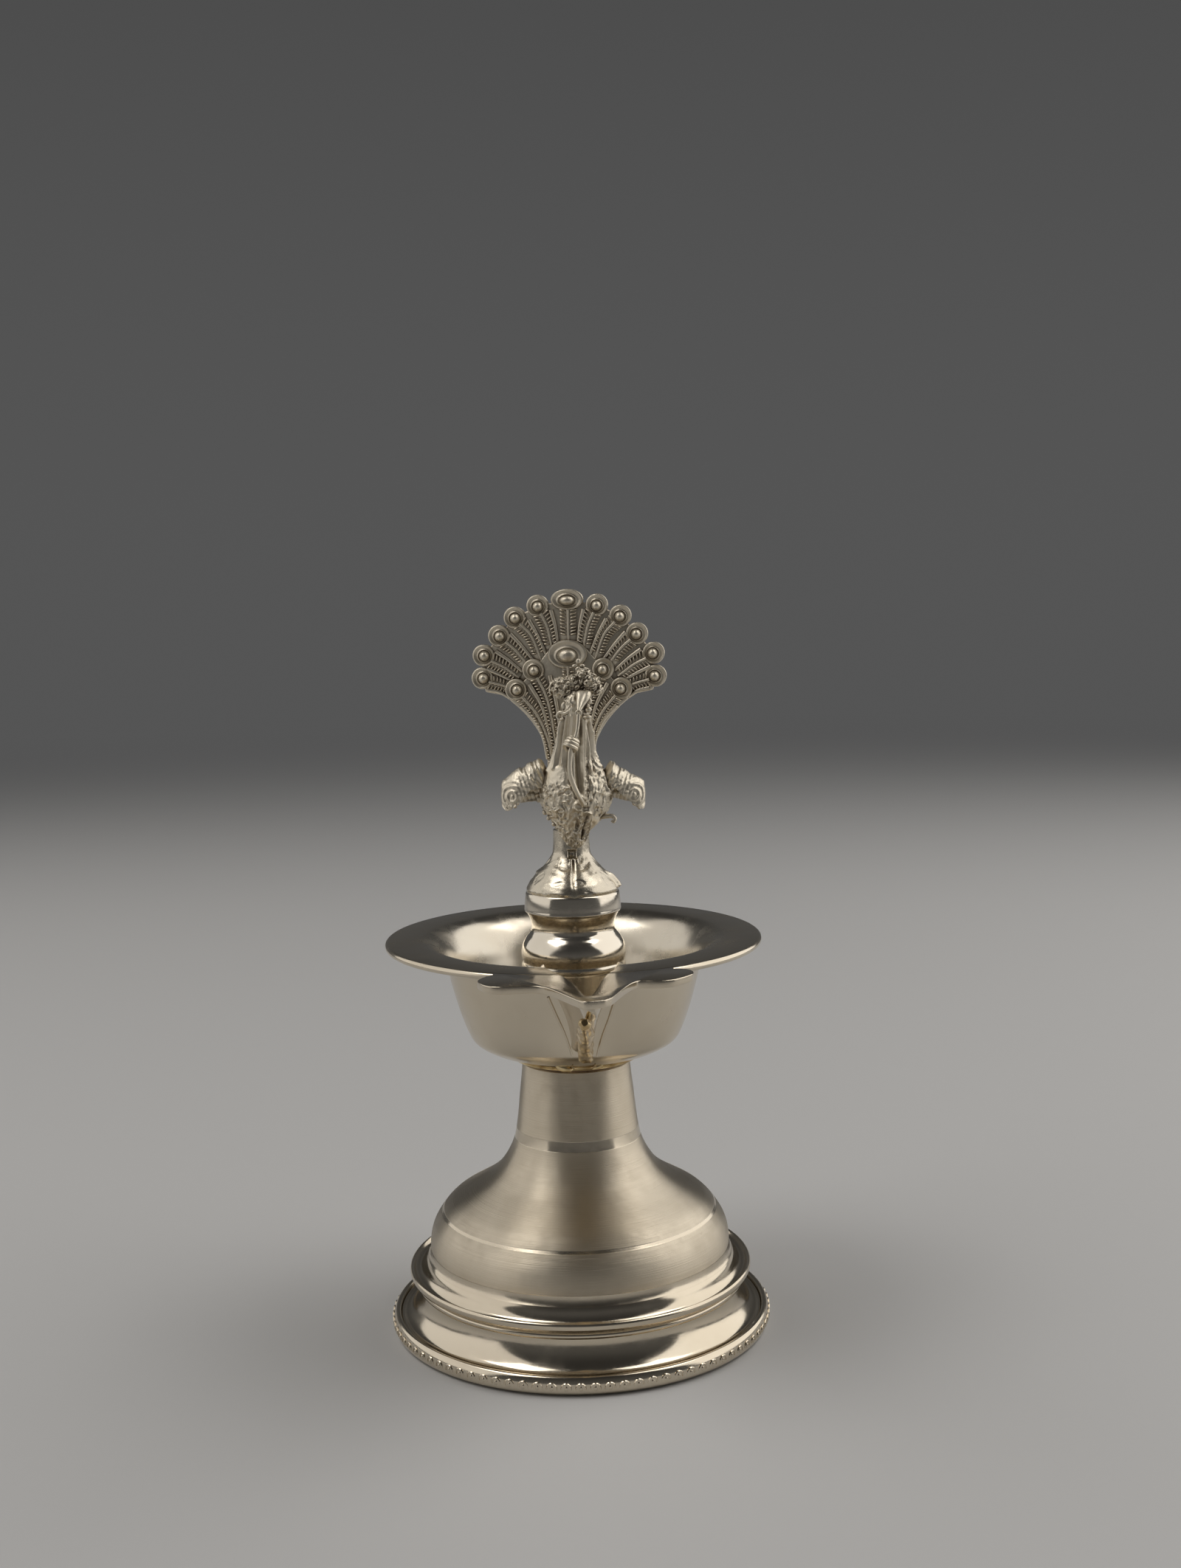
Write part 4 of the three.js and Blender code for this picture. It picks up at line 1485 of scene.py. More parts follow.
@dataclass
class Fan:
    """The fanned tail: scalloped plate, eyes, and feathers with a rib between two rows of barbs."""

    finishes: Finishes
    body: str = "finial"
    turn_deg: float = -6.0
    back_y: float = 2.8
    low_front: float = 1.5
    high_front: float = 1.05
    barb_pitch: float = 0.62
    outer_eyes: tuple[Point, ...] = ((5.5, 135.4), (9.8, 133.3), (12.8, 130.0), (15.8, 126.4), (16.1, 122.2))
    inner_eyes: tuple[Point, ...] = ((6.5, 123.6), (9.8, 120.0))

    def build(self) -> None:
        """Builds the fan from its plates, feathers and eyes."""
        pieces = [*self.plates(), *self.feathers(), *self.borders(), *self.eyes()]
        fan = merge("tail_fan_cast", pieces)
        fan.data.transform(Matrix.Rotation(math.radians(self.turn_deg), 4, "Z"))
        soften(fan, 50)
        dress(fan, self.finishes.cast)
        place_on(fan, self.body, Slot.CAST, "tail_fan")

    def cut(self, name: str, half: list[Point], front: float, back: float) -> bpy.types.Object:
        """Cuts an upright plate from half its outline.

        Args:
            name: The new object's name.
            half: The right half's points, across and up, from the foot to the top.
            front: Where its front face lies.
            back: Where its back face lies.

        Returns:
            The plate.
        """
        loop = [*half, *[(-x, z) for x, z in reversed(half) if x > 0]]
        plate = slab(name, [(x, front, z) for x, z in loop], (0, back - front, 0))
        apply_modifier(plate, "BEVEL", width=0.22 * MM, segments=2, limit_method="ANGLE",
                       angle_limit=math.radians(50))
        return plate

    def plates(self) -> list[bpy.types.Object]:
        """Cuts the low plate behind the outer feathers and the high one behind the inner feathers.

        Returns:
            The two plates.
        """
        foot = [(4.0, 100.0), (4.3, 107.0), (4.5, 109.2)]
        flank = bend((4.5, 109.2), (6.2, 114.2), (10.9, 117.9), 6)[1:]
        low = [*foot, *flank, (12.6, 119.0), (15.6, 119.6), *self.outer_eyes[::-1], (0.0, 136.4)]
        high = [*foot, *flank, (11.4, 119.6), *self.inner_eyes[::-1], (3.3, 127.6), (0.0, 129.0)]
        return [self.cut("fan_low_plate", low, self.low_front, self.back_y),
                self.cut("fan_high_plate", high, self.high_front, self.back_y - 0.3)]

    def feathers(self) -> list[bpy.types.Object]:
        """Lays every feather on its plate, the right ones mirrored to the left.

        Returns:
            The feathers' pieces.
        """
        low, high = self.low_front, self.high_front
        ribs = [
            ([(4.9, 134.0), (3.75, 131.4), (2.9, 127.6)], low, (1.75, 1.45), 1),
            ([(8.8, 132.2), (6.7, 129.8), (5.0, 125.4)], low, (1.8, 1.25), 1),
            ([(11.6, 128.9), (9.7, 127.2), (7.6, 124.6)], low, (1.8, 1.2), 1),
            ([(14.4, 125.4), (12.0, 124.2), (9.2, 122.2)], low, (1.8, 1.2), 1),
            ([(14.9, 121.5), (12.6, 120.9), (10.6, 120.2)], low, (1.5, 1.1), 1),
            ([(5.85, 122.2), (4.45, 119.4), (3.5, 116.0), (2.75, 111.0), (2.3, 106.5)], high, (1.5, 0.5), 1),
            ([(8.7, 118.7), (6.3, 115.8), (4.75, 112.7), (3.7, 109.2), (3.3, 105.5)], high, (1.6, 0.6), 1),
            ([(0.15, 134.6), (0.15, 131.5), (0.15, 128.6)], low, (1.7, 1.6), 0),
            ([(0.0, 124.2), (0.0, 118.0), (0.0, 110.0)], high, (1.3, 0.4), 0),
        ]
        barb = self.barb()
        pieces = []
        for points, front, widths, mirrored in ribs:
            for side in ((1, -1) if mirrored else (1,)):
                line = [(x * side, front, z) for x, z in points]
                pieces += self.feather(Route(line, 60), front, widths, barb)
        bpy.data.objects.remove(barb)
        return pieces

    def borders(self) -> list[bpy.types.Object]:
        """Lays the smooth ridges that part one feather from the next.

        Returns:
            The ridges.
        """
        low, high = self.low_front, self.high_front
        lines = [
            ([(3.05, 134.6), (2.3, 131.6), (1.9, 128.6)], low),
            ([(7.2, 132.8), (5.6, 129.9), (4.1, 126.4)], low),
            ([(10.7, 130.3), (8.6, 128.0), (6.4, 125.2)], low),
            ([(13.5, 127.1), (11.2, 125.5), (8.6, 123.3)], low),
            ([(15.2, 123.9), (12.6, 122.7), (10.2, 121.4)], low),
            ([(14.9, 119.95), (12.8, 119.5), (11.0, 118.4)], low),
            ([(3.5, 122.6), (2.35, 117.5), (1.75, 111.5), (1.5, 106.5)], high),
            ([(7.3, 121.0), (5.1, 117.0), (3.95, 112.5), (3.15, 107.0)], high),
            ([(8.9, 117.0), (6.4, 114.2), (4.9, 111.0), (4.2, 107.0)], high),
        ]
        pieces = []
        for points, front in lines:
            for side in (1, -1):
                route = Route([(x * side, front - 0.1, z) for x, z in points], 36)
                pieces.append(tube("feather_border", route, taper(0.46, 0.16), 8))
        return pieces

    def feather(self, rib: Route, front: float, widths: Point,
                barb: bpy.types.Object) -> list[bpy.types.Object]:
        """Lays one feather: its vane, its rib and its rows of barbs.

        Args:
            rib: The rib's line, from the eye inwards.
            front: Where its plate's front face lies.
            widths: Half the vane's width at the eye and at the other end.
            barb: The barb to copy.

        Returns:
            The feather's pieces.
        """
        back = Vector((0, 1, 0))

        def vane(u: float, v: float) -> Place:
            """Places a point of the arched vane."""
            step = round(v * rib.steps)
            across = rib.heading(step).cross(back).normalized()
            half = widths[0] + (widths[1] - widths[0]) * v
            bow = 2 * u - 1
            spot = rib.spots[step] + across * bow * half
            return spot.x, front + 0.08 - 0.34 * (1 - bow * bow), spot.z

        pieces = [shaped("feather_vane", 8, rib.steps, vane)]
        face_away(pieces[0], Vector((0, 0.05, 0.12)))
        stem = Route([(p.x, front - 0.24, p.z) for p in rib.spots[::6]], 40)
        pieces.append(tube("feather_rib", stem, taper(0.31, 0.09), 8))
        lengths = [0.0]
        for a, b in zip(rib.spots, rib.spots[1:]):
            lengths.append(lengths[-1] + (b - a).length)
        count = int((lengths[-1] - 0.5) / self.barb_pitch)
        for i in range(count):
            reach = 0.4 + i * self.barb_pitch
            step = min(k for k, done in enumerate(lengths) if done >= reach)
            run = rib.heading(step)
            across = run.cross(back).normalized()
            half = widths[0] + (widths[1] - widths[0]) * step / rib.steps
            if half < 0.62:
                continue
            for side in (1, -1):
                lean = (across * side * 0.96 - run * 0.28).normalized()
                middle = rib.spots[step] + lean * (0.3 + half) * 0.5
                size = max(half - 0.22, 0.3)
                turned = Matrix((lean, back, lean.cross(back))).transposed().to_4x4()
                place = Matrix.Translation(Vector((middle.x, front - 0.16, middle.z)) * MM)
                tilt = Matrix.Rotation(0.2 * side, 4, "Z")
                pieces.append(copy_of(barb, place @ turned @ tilt @ Matrix.Diagonal((size, 1, 1, 1))))
        return pieces

    def barb(self) -> bpy.types.Object:
        """Models one barb, a small pillow-shaped bar one millimetre long.

        Returns:
            The barb, along X at the origin.
        """
        barb = ball("feather_barb", 0.5, turn_deg=(0, 90, 0), faces=(8, 5))
        for vertex in barb.data.vertices:
            share = abs(vertex.co.x) / (0.5 * MM)
            vertex.co.y *= 0.85
            vertex.co.z *= 0.3 * (1.0 + 0.4 * (share > 0.3))
        return barb

    def eyes(self) -> list[bpy.types.Object]:
        """Sets an eye at the end of every feather and the two large ones on the middle line.

        Returns:
            The eyes.
        """
        profile = [(0.0, -1.25), (1.85, -1.25), (2.02, -1.1), (2.05, -0.3), (2.05, 0.0), (1.98, 0.18),
                   (1.82, 0.26), (1.66, 0.2), (1.5, 0.05), (1.4, 0.03), (1.3, 0.1), (1.2, 0.2), (1.1, 0.16),
                   (1.03, 0.06), (0.98, 0.1), (0.9, 0.42), (0.74, 0.78), (0.5, 1.04), (0.25, 1.18),
                   (0.0, 1.22)]
        eye = turn("feather_eye", profile, steps=28, closed=False)
        upright = Matrix.Rotation(math.pi / 2, 4, "X")
        middle = Vector((0.0, 116.0))
        pieces = []
        places = []
        for eyes, front in ((self.outer_eyes, self.low_front), (self.inner_eyes, self.high_front)):
            places += [(x * side, z, front - 0.15, 1.0, 1.0) for x, z in eyes for side in (1, -1)]
        places += [(0.0, 136.45, self.low_front - 0.2, 1.47, 0.95),
                   (-0.1, 126.4, self.high_front - 0.25, 1.8, 1.3)]
        for x, z, front, wide, tall in places:
            twin = copy_of(eye, Matrix.Identity(4))
            inward = (middle - Vector((x, z))).normalized()
            for vertex in twin.data.vertices:
                radius = math.hypot(vertex.co.x, vertex.co.y) / MM
                shift = 0.2 * (1 - smooth(radius, 1.2, 1.7)) * (vertex.co.z > -0.5 * MM)
                vertex.co.x = (vertex.co.x + inward.x * shift * MM) * wide
                vertex.co.y = (vertex.co.y + inward.y * shift * MM) * tall
            twin.data.transform(Matrix.Translation(Vector((x, front, z)) * MM) @ upright)
            pieces.append(twin)
        bpy.data.objects.remove(eye)
        return pieces


@dataclass
class Bird:
    """The cast body: breast, fluted neck, head with its beak, and the clustered crest."""

    finishes: Finishes
    body: str = "finial"
    columns: int = 300
    rows: int = 190
    stations: tuple[tuple[float, ...], ...] = (
        (90.9, 0.75, -4.7, 0.2, 0.2), (91.4, 0.8, -4.6, 1.1, 0.9), (92.4, 0.8, -4.4, 1.9, 1.8),
        (94.3, 0.65, -3.5, 3.1, 3.3), (96.7, 1.1, -2.7, 5.05, 5.0), (98.6, 1.1, -2.3, 6.4, 6.1),
        (100.5, 1.05, -2.2, 6.7, 6.4), (102.8, 1.0, -2.4, 6.3, 6.1), (105.0, 0.95, -2.8, 5.4, 5.2),
        (107.5, 0.95, -3.3, 4.35, 4.2), (110.5, 1.05, -4.1, 3.5, 3.3), (113.5, 1.2, -5.0, 2.95, 2.7),
        (115.6, 1.35, -5.7, 2.55, 2.6), (117.4, 1.45, -6.1, 2.3, 2.5), (119.0, 1.5, -6.0, 2.1, 2.3),
        (120.3, 1.5, -5.9, 1.2, 1.3), (120.6, 1.5, -5.9, 0.1, 0.1),
    )
    ridges: tuple[tuple[tuple[Point, ...], float, float], ...] = (
        (((2.75, 114.8), (2.75, 110.0), (2.75, 105.0), (2.75, 99.3)), 0.28, 0.55),
        (((3.1, 114.6), (3.5, 109.5), (3.8, 105.0)), 0.22, 0.42),
        (((3.6, 115.0), (4.5, 110.6), (5.4, 107.6), (5.9, 104.3)), 0.26, 0.5),
        (((4.2, 112.5), (5.6, 107.6), (6.9, 104.0), (7.2, 101.0)), 0.22, 0.36),
        (((-1.3, 115.0), (-1.9, 110.5), (-2.9, 106.0)), 0.24, 0.46),
        (((-1.9, 113.5), (-3.0, 109.0), (-4.1, 105.5)), 0.24, 0.42),
        (((-0.2, 115.6), (-0.75, 112.0), (-1.3, 106.8)), 0.22, 0.36),
        (((0.55, 115.6), (0.3, 112.6), (-0.4, 109.5)), 0.2, 0.32),
        (((2.65, 98.2), (3.85, 97.7), (3.3, 95.4), (2.5, 93.6)), 0.2, 0.42),
        (((-5.6, 98.6), (-3.9, 96.4), (-2.4, 94.3), (-0.6, 91.6)), 0.24, 0.36),
    )
    grooves: tuple[tuple[tuple[Point, ...], float, float], ...] = (
        (((0.0, 110.4), (-0.4, 106.4), (0.1, 103.4), (1.2, 100.6)), 0.34, 0.6),
        (((1.75, 110.6), (1.7, 106.0), (1.95, 101.8)), 0.62, 0.95),
        (((2.3, 115.0), (2.25, 112.4), (2.1, 110.5)), 0.28, 0.5),
        (((3.35, 114.0), (4.1, 109.2), (4.8, 105.0)), 0.3, 0.42),
        (((-0.9, 115.0), (-1.35, 111.0), (-2.1, 106.6)), 0.28, 0.42),
        (((3.2, 97.2), (2.6, 95.2), (2.0, 93.0)), 0.2, 0.5),
        (((5.9, 95.2), (4.6, 93.9), (3.2, 93.3)), 0.22, 0.45),
    )

    def build(self) -> None:
        """Builds the body with its head, then the crest."""
        pieces = [self.torso(), self.beak(), *self.cheeks(), *self.curls()]
        bird = merge("peacock_body_cast", pieces)
        soften(bird, 70)
        dress(bird, self.finishes.cast)
        place_on(bird, self.body, Slot.CAST, "peacock_body")
        self.crest()

    def roughness(self, x: float, z: float, front: float) -> float:
        """Says how strongly the crusty texture shows.

        Args:
            x: The place across.
            z: The height.
            front: 1 on the side that faces the spout, 0 on the back.

        Returns:
            The share, from 0 to 1.
        """
        belly = smooth(z, 90, 92) * (1 - smooth(z, 103.2, 105.5))
        right = smooth(x, 2.8, 3.3) * (1 - smooth(z, 107.0, 109.5)) * smooth(z, 98, 99)
        panel = math.exp(-((x + 0.1) / 0.75) ** 2 - ((z - 96.2) / 1.9) ** 2)
        thigh = math.exp(-((x - 4.3) / 0.95) ** 4 - ((z - 95.8) / 1.3) ** 4)
        channel = math.exp(-((x - 1.5) / 0.9) ** 4) * smooth(z, 100.4, 101.6)
        shoulder = math.exp(-((x + 3.0) / 2.2) ** 4 - ((z - 105.0) / 1.8) ** 4)
        calm = max(panel, thigh, channel, shoulder) * front
        skull = smooth(z, 115.8, 116.6)
        return max(belly, right, skull) * (1 - 0.9 * calm * (1 - skull))

    def relief(self, x: float, y: float, z: float, front: float) -> float:
        """Gives the height of the cast relief over the plain form.

        Args:
            x: The place across.
            y: The place in depth.
            z: The height.
            front: 1 on the side that faces the spout, 0 on the back.

        Returns:
            The height, in millimetres.
        """
        spot = Vector((x, y, z))
        rough = self.roughness(x, z, front)
        tall = Vector((x, y, z * (1 - 0.55 * smooth(x, 2.6, 3.4))))
        height = 0.2 * rough * (worms(tall, 1.0) - 0.45)
        height += 0.1 * rough * (worms(tall, 0.55, 7.0) - 0.5)
        height += 0.05 * noise.noise(spot * 1.4) + 0.1 * noise.noise(spot * 0.45)
        pits = smooth(worms(spot, 1.5, 3.0), 0.0, 0.25)
        height -= 0.22 * rough * (1 - pits)
        if front > 0.02:
            for line, width, rise in self.ridges:
                height += front * rise * math.exp(-(distance_to(line, x, z) / width) ** 2)
            for line, width, depth in self.grooves:
                height -= front * depth * math.exp(-(distance_to(line, x, z) / width) ** 2)
            ring = abs(math.hypot(x - 1.5, z - 99.2) - 0.72)
            height += front * 0.4 * math.exp(-(ring / 0.22) ** 2)
            thigh = math.exp(-((x - 4.3) / 1.0) ** 2 - ((z - 95.8) / 1.5) ** 2)
            height += front * 0.35 * thigh
            hole = math.exp(-((x - 1.3) / 0.38) ** 2 - ((z - 95.6) / 0.8) ** 2)
            height -= front * 0.8 * hole
        return height

    def torso(self) -> bpy.types.Object:
        """Shapes the breast, neck and head with their relief.

        Returns:
            The closed form.
        """
        low, high = self.stations[0][0], self.stations[-1][0]
        table = list(self.stations)

        def rule(u: float, v: float) -> Place:
            """Places a point of the skin."""
            z = low + (high - low) * v
            x, y, wide, deep = along(z, table)
            if v in (0.0, 1.0):
                return x, y, z
            turn_by = 2 * math.pi * u
            across, depth = math.cos(turn_by), math.sin(turn_by)
            px, py = x + wide * across, y + deep * depth
            front = smooth(-depth, 0.0, 0.45)
            rise = self.relief(px, py, z, front) * min(wide / 1.6, 1.0)
            flutes = 0.12 * math.sin(13 * turn_by) * smooth(z, 104, 107) * (1 - smooth(z, 114, 116))
            rise += flutes * (1 - front * 0.6)
            return px + rise * across, py + rise * depth, z

        return shaped("torso", self.columns, self.rows, rule)

    def beak(self) -> bpy.types.Object:
        """Shapes the beak, which points down and ends in the ring that holds the strand.

        Returns:
            The beak.
        """
        route = Route([(2.95, -7.4, 119.8), (2.85, -8.7, 119.0), (2.4, -9.9, 117.9),
                       (1.98, -11.2, 116.7)], 40)

        def swell(share: float, angle: float) -> float:
            """Gives the beak's radius, with a ridge along its top."""
            radius = along(share, [(0, 0.5), (0.2, 1.2), (0.45, 1.05), (0.8, 0.55), (1, 0.28)])[0]
            return radius * (1 + 0.24 * math.cos(3 * (angle + math.pi / 2)))

        return tube("beak", route, swell, 20)

    def cheeks(self) -> list[bpy.types.Object]:
        """Models the rolled wattles on both sides of the beak, the eyes and the ring at its tip.

        Returns:
            The small pieces.
        """
        wattles = ((3.7, -8.2, 116.75, 0.62, (1, 0.9, 0.85)), (3.45, -8.3, 115.45, 0.78, (1.05, 0.8, 0.5)),
                   (3.9, -7.9, 118.3, 0.5, (0.9, 0.8, 1.2)), (-0.55, -6.9, 117.4, 0.7, (1.0, 0.6, 1.2)),
                   (0.6, -8.1, 118.0, 0.5, (1.2, 0.6, 0.8)))
        pieces = [ball("wattle", size, (x, y, z), scale) for x, y, z, size, scale in wattles]
        roll = Route([(0.3, -7.9, 116.6), (-0.5, -7.7, 116.1), (-1.5, -7.3, 116.3), (-2.0, -7.1, 115.6),
                      (-1.4, -7.3, 115.0), (-0.8, -7.6, 115.3)], 50)
        pieces.append(tube("left_wattle_roll", roll, taper(0.36, 0.12), 12))
        deselect()
        bpy.ops.mesh.primitive_torus_add(major_segments=28, minor_segments=10, major_radius=0.46 * MM,
                                         minor_radius=0.17 * MM, location=(1.9 * MM, -11.7 * MM, 116.4 * MM),
                                         rotation=(math.pi / 2, 0, 0))
        ring = newest("beak_ring")
        settle(ring)
        pieces.append(ring)
        return pieces

    def curls(self) -> list[bpy.types.Object]:
        """Models the small curl that stands off the right flank and the bumps of the left one.

        Returns:
            The pieces.
        """
        hook = Route([(5.3, -4.2, 96.7), (6.6, -4.8, 96.9), (7.7, -5.0, 96.9), (8.15, -5.1, 96.4),
                      (7.9, -5.2, 95.9), (7.45, -5.2, 96.1)], 40)
        pieces = [tube("flank_curl", hook, taper(0.5, 0.28), 12)]
        for x, y, z, size in ((-4.7, -3.6, 97.7, 0.5), (-4.0, -4.0, 96.7, 0.45), (-3.1, -4.6, 95.6, 0.4),
                              (6.2, -3.8, 97.6, 0.5)):
            deselect()
            bpy.ops.mesh.primitive_ico_sphere_add(subdivisions=3, radius=size * MM,
                                                  location=(x * MM, y * MM, z * MM))
            bump = newest("flank_bump")
            settle(bump)
            pieces.append(bump)
        return pieces

    def crest(self) -> None:
        """Heaps up the crest: rough lobes, curls over them and the small trefoil on top."""
        lobes = (((-0.9, -5.9, 120.6), (2.3, 1.8, 1.9)), ((0.9, -6.0, 121.3), (1.8, 1.6, 1.5)),
                 ((3.0, -6.3, 122.9), (1.15, 1.2, 1.1)), ((4.1, -6.4, 121.5), (1.5, 1.5, 1.45)),
                 ((5.0, -6.1, 120.2), (1.15, 1.2, 1.0)), ((2.4, -5.6, 120.6), (1.7, 1.4, 1.2)))
        pieces = []
        for number, (centre, radii) in enumerate(lobes):
            pieces.append(self.lobe(Vector(centre), Vector(radii), 5.0 * number))
            pieces += self.crest_curls(Vector(centre), Vector(radii), 12)
        for x, z, size, squash in ((2.0, 125.3, 0.42, 1.3), (1.35, 124.5, 0.5, 0.7), (2.7, 124.5, 0.5, 0.7),
                                   (2.0, 123.9, 0.6, 0.9)):
            pieces.append(ball("crest_petal", size, (x, -5.2, z), (1.0, 0.7, squash), faces=(14, 9)))
        crest = merge("peacock_crest_cast", pieces)
        soften(crest, 75)
        dress(crest, self.finishes.cast)
        place_on(crest, self.body, Slot.CAST, "peacock_crest")

    def lobe(self, centre: Vector, radii: Vector, seed: float) -> bpy.types.Object:
        """Shapes one rough lobe of the crest.

        Args:
            centre: Its centre, in millimetres.
            radii: Its half sizes.
            seed: Moves its texture.

        Returns:
            The lobe.
        """
        def rule(u: float, v: float) -> Place:
            """Places a point of the lobe."""
            turn_by, rise_by = 2 * math.pi * u, math.pi * (v - 0.5)
            out = Vector((math.cos(turn_by) * math.cos(rise_by), math.sin(turn_by) * math.cos(rise_by),
                          math.sin(rise_by)))
            if v in (0.0, 1.0):
                out = Vector((0, 0, out.z))
            spot = centre + Vector(a * b for a, b in zip(out, radii))
            height = 0.4 * (worms(spot, 0.75, seed) - 0.6) + 0.1 * noise.noise(spot * 2.2)
            return tuple(spot + out * height)

        return shaped("crest_lobe", 96, 60, rule)

    def crest_curls(self, centre: Vector, radii: Vector, count: int) -> list[bpy.types.Object]:
        """Lays small open curls over a lobe, evenly spread.

        Args:
            centre: The lobe's centre, in millimetres.
            radii: Its half sizes.
            count: How many curls it gets.

        Returns:
            The curls.
        """
        golden = math.pi * (3 - math.sqrt(5))
        curls = []
        for i in range(count):
            up = 0.95 - 1.5 * (i + 0.5) / count
            flat = math.sqrt(max(1 - up * up, 0.0))
            out = Vector((flat * math.cos(golden * i), flat * math.sin(golden * i), up))
            if out.y > 0.45:
                continue
            spot = centre + Vector(a * b for a, b in zip(out, radii))
            first = out.orthogonal().normalized()
            second = out.cross(first)
            size = 0.4 + 0.14 * math.sin(5 * i)
            points = []
            for k in range(7):
                swing = i * 1.3 + k * 0.85
                reach = size * (1 - 0.09 * k)
                points.append(tuple(spot + (first * math.cos(swing) * 1.5 + second * math.sin(swing)) * reach
                                    + out * (0.04 + 0.02 * k)))
            curls.append(tube("crest_curl", Route(points, 18), taper(0.23, 0.06), 8))
        return curls


@dataclass
class Wing:
    """One drooping wing: a cupped shell, feathered above and hollow underneath."""

    finishes: Finishes
    name: str
    side: int
    node: str
    body: str = "finial"
    wall: float = 0.55
    root_x: float = 0.6
    root_y: float = -1.6
    stations: tuple[tuple[float, ...], ...] = ()

    def point(self, u: float, v: float) -> Place:
        """Places a point of the wing's outer skin.

        Args:
            u: The share across, from the front edge over the top to the back edge.
            v: The share along, from the shoulder to the rounded end.

        Returns:
            The point, in millimetres.
        """
        reach, front_z, top_z, back_z, deep = along(v, list(self.stations))
        bow = math.pi * (1 - u)
        y = self.root_y + deep * math.cos(bow)
        edge = front_z if u < 0.5 else back_z
        z = edge + (top_z - edge) * math.sin(bow) ** 0.8
        outward = Vector((0.25 * self.side, math.cos(bow), math.sin(bow))).normalized()
        lift = self.feathering(reach, z, u, v)
        return reach * self.side + self.root_x + outward.x * lift, y + outward.y * lift, z + outward.z * lift

    def feathering(self, reach: float, z: float, u: float, v: float) -> float:
        """Gives the relief of the feathers.

        Args:
            reach: The distance out from the body's middle.
            z: The height.
            u: The share across.
            v: The share along.

        Returns:
            The relief's height, in millimetres.
        """
        end = smooth(v, 0.5, 0.68)
        ring = math.hypot(reach - 11.2, z - 100.8)
        arcs = 0.12 * math.cos(2 * math.pi * ring / 0.95) * (1 - smooth(ring, 2.4, 3.2))
        fan_turn = math.atan2(z - 101.0, reach - 3.6)
        plumes = 0.13 * math.cos(21 * fan_turn) + 0.05 * math.cos(2 * math.pi * (reach - 0.35 * z) / 0.8)
        tips = 0.14 * abs(math.sin(math.pi * reach / 1.55)) * math.exp(-((u - 0.5) / 0.16) ** 2)
        rough = 0.06 * noise.noise(Vector((reach, 4 * u, z)) * 2.2)
        return plumes * (1 - end) + arcs * end + tips * (1 - 0.7 * end) + rough

    def build(self) -> None:
        """Builds the wing and the small scroll at its end."""
        wing = shaped(self.name, 84, 110, self.point)
        face_away(wing, Vector((self.side * 9.0, self.root_y, 100.5)) * MM)
        apply_modifier(wing, "SOLIDIFY", thickness=self.wall * MM, offset=-1)
        x = self.root_x + 11.4 * self.side
        scroll = Route([(x, -3.9, 98.9), (x + 0.5 * self.side, -4.2, 98.5), (x + 0.9 * self.side, -4.2, 98.9),
                        (x + 0.6 * self.side, -4.3, 99.3), (x + 0.3 * self.side, -4.4, 99.0)], 30)
        whole = merge(self.name, [wing, tube("wing_scroll", scroll, taper(0.3, 0.1), 10)])
        soften(whole, 60)
        dress(whole, self.finishes.cast)
        place_on(whole, self.body, Slot.CAST, self.node)


@dataclass
class Strand:
    """The strand from the beak to the breast, and the banded knot on it."""

    finishes: Finishes
    body: str = "finial"
    radius: float = 0.4
    knot_place: Place = (0.6, -12.1, 111.05)
    knot_tilt: Point = (24, -28)
    points: tuple[Place, ...] = (
        (1.9, -11.9, 116.2), (1.75, -12.1, 114.4), (1.45, -12.3, 112.8), (0.6, -12.2, 110.7),
        (0.2, -12.0, 108.0), (0.15, -11.8, 105.6), (0.7, -11.3, 103.6), (1.7, -10.6, 101.3),
        (2.45, -9.6, 99.7),
    )

    def build(self) -> None:
        """Builds the strand and its knot."""
        strand = tube("beak_strand_rod", Route(list(self.points), 90),
                      lambda share, angle: self.radius * (0.8 + 0.3 * smooth(share, 0.2, 0.5))
                      * (1 + 0.06 * math.sin(2 * angle + 20 * share)), 16)
        soften(strand, 70)
        dress(strand, self.finishes.cast)
        place_on(strand, self.body, Slot.CAST, "beak_strand")
        section = [(0.75, -1.25), (1.5, -1.3), (1.68, -1.0), (1.62, -0.72), (1.38, -0.6), (1.55, -0.42),
                   (1.6, -0.1), (1.5, 0.12), (1.28, 0.22), (1.42, 0.4), (1.42, 0.7), (1.28, 0.9),
                   (1.0, 1.0), (1.05, 1.2), (0.85, 1.35), (0.6, 1.3), (0.6, -0.6)]
        knot = turn("strand_knot_bands", section, steps=48)
        for vertex in knot.data.vertices:
            vertex.co.z += 0.12 * MM * math.cos(2 * math.atan2(vertex.co.y, vertex.co.x))
            vertex.co *= 0.9
        sideways, forwards = (math.radians(angle) for angle in self.knot_tilt)
        knot.data.transform(Matrix.Translation(Vector(self.knot_place) * MM)
                            @ Matrix.Rotation(sideways, 4, "Y") @ Matrix.Rotation(forwards, 4, "X"))
        dress(knot, self.finishes.cast)
        place_on(knot, self.body, Slot.CAST, "strand_knot")


# Studio


